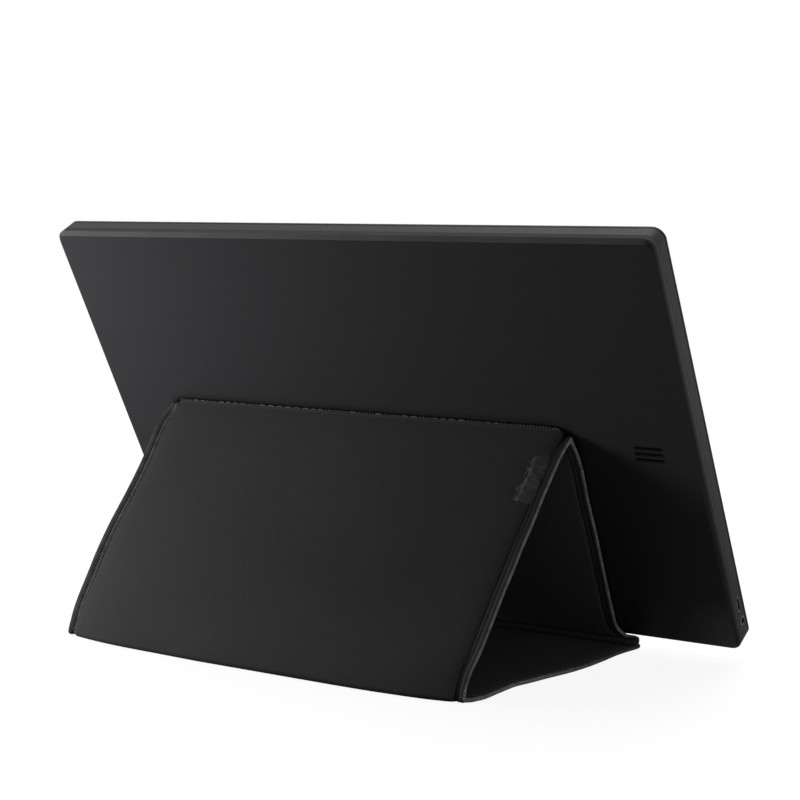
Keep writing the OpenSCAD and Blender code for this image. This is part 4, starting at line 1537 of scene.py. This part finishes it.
@dataclass
class FoldingCover:
    """The sewn cover: cloth on both faces, boards, rolled tape, stitches, lip and label."""

    layout: Layout
    strip: Strip
    cloth: bpy.types.Material
    lining: bpy.types.Material
    hem: bpy.types.Material
    tape: bpy.types.Material
    board: bpy.types.Material
    thread: bpy.types.Material
    pale_thread: bpy.types.Material
    satin: bpy.types.Material
    cloth_t: float = 0.5
    tip_round: float = 7.0
    tip_wave: float = 0.35
    blend_reach: float = 3.6
    table_gap: float = 0.3
    board_half: float = 0.5
    board_share: float = 0.985

    def __post_init__(self) -> None:
        """Splits the strip half-way down the rear panel."""
        self.shape = CoverShape(self.layout)
        length = float(np.linalg.norm(self.layout.heel - self.layout.ridge))
        gap = np.where(self.strip.on(Part.REAR), np.abs(self.strip.along - length / 2), FAR)
        split = int(np.argmin(gap))
        self.upper = self.strip.pick(slice(None, split + 1))
        self.lower = self.strip.pick(slice(split, None))

    def _dress(self, piece: bpy.types.Object, material: bpy.types.Material) -> bpy.types.Object:
        """Settles a piece on the table and gives it its looks.

        Args:
            piece: The piece.
            material: Its material.

        Returns:
            The piece.
        """
        mesh = piece.data
        spots = np.zeros(3 * len(mesh.vertices))
        mesh.vertices.foreach_get("co", spots)
        height = spots[2::3] / MM
        gap = self.table_gap
        spots[2::3] = np.where(height < gap, gap * np.exp((height - gap) / gap), height) * MM
        mesh.vertices.foreach_set("co", spots)
        mesh.materials.append(material)
        LOG.info("%s: %d faces", piece.name, len(mesh.polygons))
        return piece

    def _bend(self, piece: bpy.types.Object) -> None:
        """Bakes a piece's placement into its mesh.

        Args:
            piece: The piece.
        """
        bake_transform(piece)

    def _sheet(self, name: str, rows: Strip, face: Face) -> bpy.types.Object:
        """Args:
            name: Name of the piece.
            rows: Stations.
            face: Which face of the cover.

        Returns:
            The piece.
        """
        surface, coords = self.shape.surface(rows, face)
        back, _ = self.shape.surface(rows, face, sink=self.cloth_t)
        outer = face is Face.OUTER
        parts = MeshParts()
        parts.add_slab(*((back, surface) if outer else (surface, back)), coords)
        piece = parts.build(name)
        return piece

    def build_cloth(self) -> None:
        """Outer cloth and lining, each in two lengths that meet on the rear panel."""
        upper = (self.upper, Fold.RIDGE, ["leg_board_piece", "rear_board_piece"])
        lower = (self.lower, Fold.HEEL, ["rear_board_piece", "base_board_piece"])
        outer = (Face.OUTER, self.cloth, "cover_fabric")
        inner = (Face.INNER, self.lining, "cover_lining")
        for name, (rows, fold, boards), (face, material, slot), nodes in (
                ("outer_cloth_upper", upper, outer, ("leg_fabric", "rear_fabric", "ridge_fold")),
                ("outer_cloth_lower", lower, outer, ("base_fabric", "heel_fold")),
                ("lining_cloth_upper", upper, inner, ("leg_lining", "rear_lining")),
                ("lining_cloth_lower", lower, inner, ("base_lining",))):
            piece = self._dress(self._sheet(name, rows, face), material)
            self._bend(piece)
            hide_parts(*nodes)

    def build_boards(self) -> None:
        """Stiff boards between the cloths, one on each panel, clear of the folds."""
        middle = self.layout.stand_x
        for panel, body, node, low, high in (
                (Part.LEG, "leg_panel", "leg_board", 7.0, 134.0),
                (Part.REAR, "rear_panel", "rear_board", 8.0, 155.0),
                (Part.BASE, "base_panel", "base_board", 8.0, 173.0)):
            along = self.strip.along
            rows = self.strip.pick(self.strip.on(panel) & (along >= low) & (along <= high))
            x, _ = self.shape.across(rows)
            x = middle + (x - middle) * self.board_share
            under, over = (self.shape.displace(
                spatial(x, (rows.middle + rows.normal * lift)[:, None, :]), rows)
                for lift in (-self.board_half, self.board_half))
            parts = MeshParts()
            parts.add_slab(under, over, paired(x, rows.run[:, None]))
            piece = self._dress(parts.build(node + "_piece"), self.board)
            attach(piece, body)
            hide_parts(node)

    def _edge(self, rows: Strip, side: int) -> EdgePath:
        """Finds the edge of some stations.

        Args:
            rows: The stations.
            side: The -X side (-1) or the +X side (1).

        Returns:
            The edge, with the width of that side's tape.
        """
        x = self.layout.stand_x + (rows.far if side > 0 else -rows.near)
        points = self.shape.displace(spatial(x, rows.middle)[:, None, :], rows)[:, 0]
        width = self.shape.far_tape if side > 0 else 1.0
        return EdgePath(points, spatial(np.zeros(len(x)), rows.normal), rows.half,
                        np.full(len(x), width))

    def _upper_edge(self, side: int) -> EdgePath:
        """Finds the edge of the leg and the upper rear panel, with narrower tape at the foot.

        Args:
            side: The -X side (-1) or the +X side (1).

        Returns:
            The edge.
        """
        path = self._edge(self.upper, side)
        climb = self.layout.foot - self.upper.along
        low = self.upper.on(Part.LEG) & (climb < 10)
        path.width[low] *= 0.4 + 0.6 * climb[low] / 10
        return path.reversed() if side > 0 else path

    def _lower_edge(self) -> EdgePath:
        """Finds the edge from the rear panel down the -X side, round the tip and up the +X side.

        Returns:
            The edge.
        """
        r = self.tip_round
        keep = ~self.lower.on(Part.BASE) | (self.lower.along < self.layout.base_len - r - 0.5)
        rows = self.lower.pick(keep)
        down, up = self._edge(rows, -1), self._edge(rows, 1).reversed()
        heel_y, z = self.layout.heel
        tip_y = heel_y - self.layout.base_len
        low_x, high_x = down.points[-1, 0] - 0.1, up.points[0, 0] + 0.1
        turn = np.linspace(0, math.pi / 2, 9)
        corner = np.stack([low_x + r - r * np.cos(turn), tip_y + r - r * np.sin(turn)], 1)
        front_x = np.linspace(low_x + r, high_x - r, 26)[1:-1]
        front = np.stack([front_x, tip_y + self.tip_wave * np.sin(front_x / 19)], 1)
        other = corner[::-1] * [-1, 1] + [low_x + high_x, 0]
        tip = np.concatenate([corner, front, other])
        count = len(tip)
        tip = EdgePath(np.column_stack([tip, np.full(count, z)]),
                       np.tile([0.0, 0.0, -1.0], (count, 1)), np.full(count, self.layout.half_t),
                       np.linspace(1.0, self.shape.far_tape, count))
        return EdgePath(*(np.concatenate([getattr(path, name) for path in (down, tip, up)])
                          for name in ("points", "normals", "half", "width")))

    def build_tape(self) -> None:
        """Rolled tape round the panels, with its stitches on both faces."""
        rng = random.Random(11)
        for end, paths, fold, nodes in (
                ("upper", (self._upper_edge(-1), self._upper_edge(1)), Fold.RIDGE,
                 ("leg_binding", "rear_binding")),
                ("lower", (self._lower_edge(),), Fold.HEEL, ("base_binding",))):
            tape, thread = MeshParts(), MeshParts()
            for path in paths:
                path.sweep(tape)
                for face in Face:
                    path.stitches(thread, face, rng)
            band = self._dress(tape.build("edge_tape_" + end), self.tape)
            sewn = self._dress(thread.build("edge_stitch_" + end), self.thread)
            for piece in (band, sewn):
                self._bend(piece)
            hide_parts(*nodes)

    def build_ridge_stitch(self, behind: float = 1.6, gap: float = 0.75,
                           room: float = 6.0, points: int = 200) -> None:
        """Pale stitches just behind the crest, in runs of short and long ones.

        Args:
            behind: Distance of the stitches from the crest.
            gap: Distance between two stitches.
            room: Distance that has to be left for one more run.
            points: Number of points on their line.
        """
        rng = random.Random(5)
        rows = self.strip.pick(self.strip.on(Part.REAR) & (self.strip.along > 150.0))
        nearest = int(np.argmin(np.abs(np.abs(rows.run - rows.crest) - behind)))
        station = rows.pick(np.full(points, nearest))
        columns = np.linspace(-station.near[0] + 6.5, station.far[0] - 6.0, points)
        line = spatial(self.layout.stand_x + columns, station.outer)[:, None, :]
        out = spatial(np.zeros(points), station.normal)
        seam = Seam(self.shape.displace(line, station)[:, 0], out,
                    unit(np.cross(out, [1.0, 0.0, 0.0])))
        parts = MeshParts()
        place = 0.0
        while place + room < seam.run[-1]:
            length, count = rng.choice(RIDGE_RUNS)
            for _ in range(count):
                if place + length < seam.run[-1]:
                    seam.stitch(parts, place, length, rng.uniform(0.3, 0.4),
                                rng.uniform(-0.1, 0.1))
                place += length + gap
        piece = self._dress(parts.build("ridge_stitch"), self.pale_thread)
        self._bend(piece)

    def build_lip(self, pitch: float = 3.3, length: float = 2.4, radius: float = 0.17,
                  sink: float = 0.42, room: float = 3.0) -> None:
        """Padded hem under the monitor's edge, with a rolled rim and a stitched groove.

        Args:
            pitch: Distance from one stitch to the next.
            length: Length of a stitch.
            radius: Radius of the thread.
            sink: Depth of the stitches under the lip's top.
            room: Distance that has to be left for one more stitch.
        """
        low, high = (np.array(corner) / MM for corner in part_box("lip"))
        rings = [*((low[2] + height, inset) for height, inset in LIP_SIDE),
                 *((high[2] - depth, inset) for depth, inset in LIP_RIM)]
        grid = np.array([[(x, y, z) for x, y in self._lip_outline(low, high, inset)]
                         for z, inset in rings])
        parts = MeshParts()
        parts.add_tube(grid, paired(grid[..., 0], grid[..., 1] + grid[..., 2]))
        piece = self._dress(parts.build("lip_hem"), self.hem)
        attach(piece, "leg_panel")
        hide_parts("lip")

        rng = random.Random(3)
        thread = MeshParts()
        outline = self._lip_outline(low, high, LIP_GROOVE)
        line = np.array([(x, y, high[2] - sink) for x, y in outline + outline[:1]])
        out = np.tile([0.0, 0.0, 1.0], (len(line), 1))
        seam = Seam(line, out, unit(np.cross(unit(np.gradient(line, axis=0)), out)))
        place = 1.0
        while place + room < seam.run[-1]:
            seam.stitch(thread, place, length, radius)
            place += pitch * rng.uniform(0.97, 1.03)
        sewn = self._dress(thread.build("lip_stitch"), self.thread)
        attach(sewn, "leg_panel")

    @staticmethod
    def _lip_outline(low: np.ndarray, high: np.ndarray, inset: float) -> list[Point]:
        """The lip from above, with larger corners at the front and its long sides divided.

        Args:
            low: Lowest corner of its box.
            high: Highest corner of its box.
            inset: How far the outline lies inside the box.

        Returns:
            The outline's points.
        """
        outline = []
        for x, y, r, start in ((high[0], high[1], 3.0, 0), (low[0], high[1], 3.0, 90),
                               (low[0], low[1], 6.4, 180), (high[0], low[1], 6.4, 270)):
            small = max(r - inset, 0.4)
            cx = x + (inset + small) * (1 if x == low[0] else -1)
            cy = y + (inset + small) * (1 if y == low[1] else -1)
            for angle in np.radians(start + np.linspace(0, 90, 9)):
                outline.append((cx + small * math.cos(angle), cy + small * math.sin(angle)))
        dense: list[Point] = []
        for (ax, ay), (bx, by) in zip(outline, outline[1:] + outline[:1]):
            steps = 12 if math.hypot(bx - ax, by - ay) > 100 else 1
            dense += [(ax + (bx - ax) * k / steps, ay + (by - ay) * k / steps)
                      for k in range(steps)]
        return dense

    def build_label(self) -> None:
        """Blank satin label, sewn under the tape and lifting a little along its free edge."""
        low, high = (np.array(corner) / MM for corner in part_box("label_patch"))
        up = self.layout.up_rear
        out = np.array([up[1], -up[0]])
        top, bottom = ((np.array(spot) - self.layout.heel) @ up
                       for spot in ((low[1], high[2]), (high[1], low[2])))
        s0, s1 = min(top, bottom) + 0.5, max(top, bottom) - 0.5
        uu, vv = np.meshgrid(np.linspace(0, 1, 21), np.linspace(0, 1, 41))
        # The free edge is ragged, and the corners are drawn in.
        ragged = 0.8 * np.sin(vv * 9.0) + 0.5 * np.sin(vv * 23.0 + 1.0)
        x = low[0] - 0.8 + uu * (high[0] - low[0] - 0.3 + ragged * uu)
        s = s0 + vv * (s1 - s0) - 1.4 * uu + 0.6 * np.sin(uu * 6.0) * (2 * vv - 1)
        # The label rises from the sewn edge, with waves and one long crease across it.
        half_width = float(np.interp((s0 + s1) / 2, *zip(*HALF_WIDTHS[Part.REAR][0])))
        away = x - self.layout.stand_x + half_width
        lift = self.layout.half_t + self.shape.swelling(away, s, x) + 0.2 + 0.45 * uu
        lift += 0.22 * np.sin(vv * 13.0 + uu * 5.0) * uu + 0.1 * np.sin(vv * 31.0 - uu * 9.0) * uu
        lift += 0.4 * np.exp(-(((vv - 0.45 - 0.35 * uu) / 0.06) ** 2))
        lift -= 0.2 * np.exp(-((uu / 0.07) ** 2))
        face, under = (spatial(x, self.layout.heel + s[..., None] * up
                               + out * (lift - depth)[..., None]) for depth in (0.0, 0.3))
        parts = MeshParts()
        parts.add_slab(face, under, paired(x, s))
        piece = self._dress(parts.build("blank_label"), self.satin)
        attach(piece, "rear_panel")
        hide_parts("label_patch")

    def build(self) -> None:
        """Makes every piece of the cover."""
        self.build_boards()
        self.build_cloth()
        self.build_tape()
        self.build_ridge_stitch()
        self.build_lip()
        self.build_label()


# Finishes of the monitor's solids, with the nodes that wear each.
PLAIN_FINISHES: tuple[tuple[Finish, str], ...] = (
    # The bezel's side walls carry painted shade, darker near the table.
    (MouldedPlastic("bezel_plastic", grey(62, 0.01), 0.5, 0.05, grime=0.33), "front_bezel"),
    (MouldedPlastic("gasket_foam", grey(20), 0.9, 0.1, 900.0, 0.2), "bezel_gasket"),
    (ClearPlastic("diffuser_film", (0.86, 0.87, 0.86), 0.35, 0.6), "diffuser_sheet"),
    (ClearPlastic("light_guide_acrylic", (0.82, 0.9, 0.92), 0.85, 0.08), "light_guide"),
    (MouldedPlastic("reflector_film", grey(232), 0.3, 0.5), "reflector_sheet"),
    (MouldedPlastic("led_strip_resin", (0.75, 0.6, 0.2), 0.3, 0.5), "led_bar"),
    (BareMetal("tray_aluminium", (0.62, 0.63, 0.65), 0.38), "panel_chassis"),
    (CircuitBoard("green_board"), "driver_board main_board button_board"),
    (MouldedPlastic("chip_resin", grey(32), 0.55, 0.3, 5000.0), "main_chip"),
    (BareMetal("tinned_steel", (0.66, 0.66, 0.67), 0.28), "shield_can"),
    (BareMetal("zinc_screw", (0.55, 0.55, 0.57), 0.3, 3000.0), "board_screws chassis_screws"),
    (MouldedPlastic("ribbon_film", (0.45, 0.22, 0.04), 0.25, 0.5), "display_cable"),
    (BareMetal("nickel_shell", (0.16, 0.16, 0.165), 0.35, 4000.0), "usb_port"),
    (MouldedPlastic("socket_plastic", grey(26), 0.4, 0.4), "audio_jack tact_switches"),
    (MouldedPlastic("button_plastic", grey(48, 0.02), 0.35, 0.45, 4000.0),
     "power_button up_button down_button"),
    (ClearPlastic("light_pipe_plastic", (0.75, 0.82, 0.9), 0.6, 0.35), "light_pipe"),
    (BareMetal("keeper_steel", (0.45, 0.45, 0.46), 0.45), "steel_plates"),
    (MouldedPlastic("foot_rubber", grey(24), 0.85, 0.15, 1800.0, 0.08), "rubber_feet"),
    (BareMetal("magnet_nickel", (0.6, 0.6, 0.61), 0.2), "leg_magnets lip_magnets base_magnets"),
)


@dataclass
class MonitorDress:
    """Finishes for the solids of the monitor, its sockets, buttons and inner parts."""

    effects: Effects
    layout: Layout

    def _wear(self, finish: Finish, nodes: str) -> None:
        """Gives solids one finish.

        Args:
            finish: The finish.
            nodes: Names of the solids' nodes, with spaces between them.
        """
        material = finish.build(self.effects)
        for name in nodes.split():
            for slot in frame["nodes"][name].material_slots:
                slot.material = material
            LOG.info("%s wears %s", name, material.name)

    def build(self) -> None:
        """Dresses every solid of the monitor."""
        lay = self.layout
        up, facing = Vector((0.0, *lay.rise)), Vector((0.0, *lay.back))
        corner = lay.on_case(0.0, 0.0, 0.0)
        # The back is dark and the rim paler; the rim's paler grey is partly a painted sheen.
        self._wear(HairlinePlastic(
            "back_shell_plastic", grey(56, 0.025), grey(75, 0.01), facing=facing,
            level=corner.dot(facing), rise=up, foot=corner.dot(up), marks=(121.9, 125.5, 129.1),
            mark_x=-163.0, mark_half=7.5, corner_x=-190.0), "back_cover")
        self._wear(DisplayGlass("display_glass", 172.1, 96.75,
                                lay.on_case(0.0, -13.0, 132.25), up), "lcd_cell")
        for finish, nodes in PLAIN_FINISHES:
            self._wear(finish, nodes)


# ---------------------------------------------------------------------------- studio


@dataclass(frozen=True)
class Camera:
    """The view: a long lens from behind, slightly above, rolled by a degree."""

    place: tuple[float, float, float] = (-573.18, 839.88, 218.28)
    yaw: float = 0.5781532
    pitch: float = 0.0814559
    roll: float = 0.0179595
    lens: float = 83.958
    sensor: float = 36.0

    def build(self) -> None:
        """Sets the scene's camera."""
        cy, sy = math.cos(self.yaw), math.sin(self.yaw)
        cp, sp = math.cos(self.pitch), math.sin(self.pitch)
        look = Vector((sy * cp, -cy * cp, -sp))
        right = Vector((-cy, -sy, 0.0))
        up = right.cross(look)
        c, s = math.cos(self.roll), math.sin(self.roll)
        right, up = right * c + up * s, up * c - right * s
        data = bpy.data.cameras.new("view")
        data.lens = self.lens
        data.sensor_width = self.sensor
        data.clip_start = 0.01
        data.clip_end = 50.0
        camera = bpy.data.objects.new("view", data)
        turn = Matrix((right, up, -look)).transposed().to_4x4()
        camera.matrix_world = Matrix.Translation(Vector(self.place) * MM) @ turn
        bpy.context.scene.collection.objects.link(camera)
        bpy.context.scene.camera = camera


@dataclass(frozen=True)
class Lamp:
    """One soft panel lamp, placed in metres."""

    name: str
    place: tuple[float, float, float]
    target: tuple[float, float, float]
    size: tuple[float, float]
    power: float

    def build(self) -> None:
        """Adds the lamp."""
        data = bpy.data.lights.new(self.name, "AREA")
        data.shape = "RECTANGLE"
        data.size, data.size_y = self.size
        data.energy = self.power
        lamp = bpy.data.objects.new(self.name, data)
        lamp.location = self.place
        aim = Vector(self.target) - Vector(self.place)
        lamp.rotation_euler = aim.to_track_quat("-Z", "Y").to_euler()
        bpy.context.scene.collection.objects.link(lamp)


def seen_rays(g: Graph) -> Signal:
    """Tells rays that show a surface, straight or by way of glass or a mirror, from light.

    Args:
        g: Tree of a material or of the world.

    Returns:
        1 for a ray that shows it and 0 for light.
    """
    path = g.node("LightPath")
    kinds = ("Is Camera Ray", "Is Transmission Ray", "Is Glossy Ray")
    return reduce(Signal.most, (Signal(g, path.outputs[kind]) for kind in kinds))


@dataclass(frozen=True)
class Studio:
    """Plain white floor and surroundings with soft lamps."""

    lamps: tuple[Lamp, ...] = (
        Lamp("key", (0.36, 0.27, 0.165), (0.0, 0.0, 0.12), (0.2, 0.15), 1.6),
        Lamp("overhead", (0.1, -0.5, 1.7), (0.0, 0.0, 0.1), (1.2, 0.8), 26.0),
        Lamp("side", (-0.72, 0.02, 0.16), (-0.15, 0.0, 0.1), (0.25, 0.25), 1.0),
        Lamp("front", (0.3, -1.3, 0.7), (0.0, 0.0, 0.1), (0.8, 0.6), 20.0),
    )
    sky: float = 0.04
    floor_reach: float = 6000.0
    floor_share: float = 0.88
    floor_glow: float = 1.035
    floor_clear: Range = (400.0, 1500.0)

    def build(self) -> None:
        """Makes the lamps, the world and the floor."""
        for lamp in self.lamps:
            lamp.build()
        world = bpy.data.worlds.new("studio")
        bpy.context.scene.world = world
        world.use_nodes = True
        g = Graph(world.node_tree)
        backdrop = g.tree.nodes["Background"].inputs
        g.feed(backdrop["Color"], (1.0, 1.0, 1.0))
        g.feed(backdrop["Strength"], seen_rays(g).between(self.sky, 1.0))
        self._floor()

    def _floor(self) -> None:
        """Floor that looks white where it is seen and keeps a soft shadow."""
        r = self.floor_reach
        corners = np.array([[(-r, -r, 0), (r, -r, 0)], [(-r, r, 0), (r, r, 0)]], float)
        parts = MeshParts()
        parts.add_grid(corners, np.zeros((2, 2, 2)))
        floor = parts.build("floor")
        g = Coat("floor_paper")
        seen = seen_rays(g)
        g.wear(Base_Color=g.mix(seen, (0.14, 0.14, 0.14), (0.9, 0.9, 0.9)), Roughness=0.9,
               Specular_IOR_Level=0.0)
        glow = g.out("Emission", 0, Color=(1.0, 1.0, 1.0), Strength=self.floor_glow)
        away = g.out("VectorMath", "Value", g.spot(), operation="LENGTH")
        share = seen * away.ramp_mm(*self.floor_clear, self.floor_share, 1.0)
        blend = g.out("MixShader", 0, share, Signal(g, g.shader.outputs[0]), glow)
        g.feed(g.tree.nodes["Material Output"].inputs["Surface"], blend)
        floor.data.materials.append(g.material)


def main() -> None:
    """Builds the camera, the studio, the cover and the monitor's finishes in order."""
    logging.basicConfig(level=logging.INFO, format="%(message)s")
    bpy.context.scene.view_settings.view_transform = "Standard"
    Camera().build()
    Studio().build()
    layout = Layout.from_frame()
    strip = StripBuilder(layout).build()
    effects = Effects(layout.lean)
    MonitorDress(effects, layout).build()
    thread = WovenCloth("edge_thread", grey(62), 2600.0, 0.1, 0.7, 0.2, 0.05, Effect.RIB)
    pale = WovenCloth("ridge_thread", grey(98), 2600.0, 0.1, 0.7, 0.25, 0.05, Effect.RIB)
    FoldingCover(
        layout, strip,
        cloth=WovenCloth("cover_cloth", grey(60), crest=strip.crest).build(effects),
        lining=WovenCloth("cover_lining", grey(97, 0.04), 1800.0, 0.1, 0.95, gloss=0.04,
                          up_shade=0.4).build(effects),
        hem=WovenCloth("lip_cloth", grey(72, 0.03), up_shade=0.4).build(effects),
        tape=RolledTape("edge_tape", fold=grey(118), inner=grey(82, 0.03), roll=grey(60),
                        near_roll=grey(62), band=grey(72), groove=grey(30),
                        middle_x=layout.stand_x).build(effects),
        board=MouldedPlastic("board_fibre", (0.1, 0.08, 0.06), 0.85, 0.1, 700.0,
                             0.2).build(effects),
        thread=thread.build(effects),
        pale_thread=pale.build(effects),
        satin=CreasedSatin("label_satin", grey(54, 0.05), grey(108), grey(46),
                           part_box("label_patch")[0].x / MM + 6.5).build(effects),
    ).build()


if __name__ == "__main__":
    main()
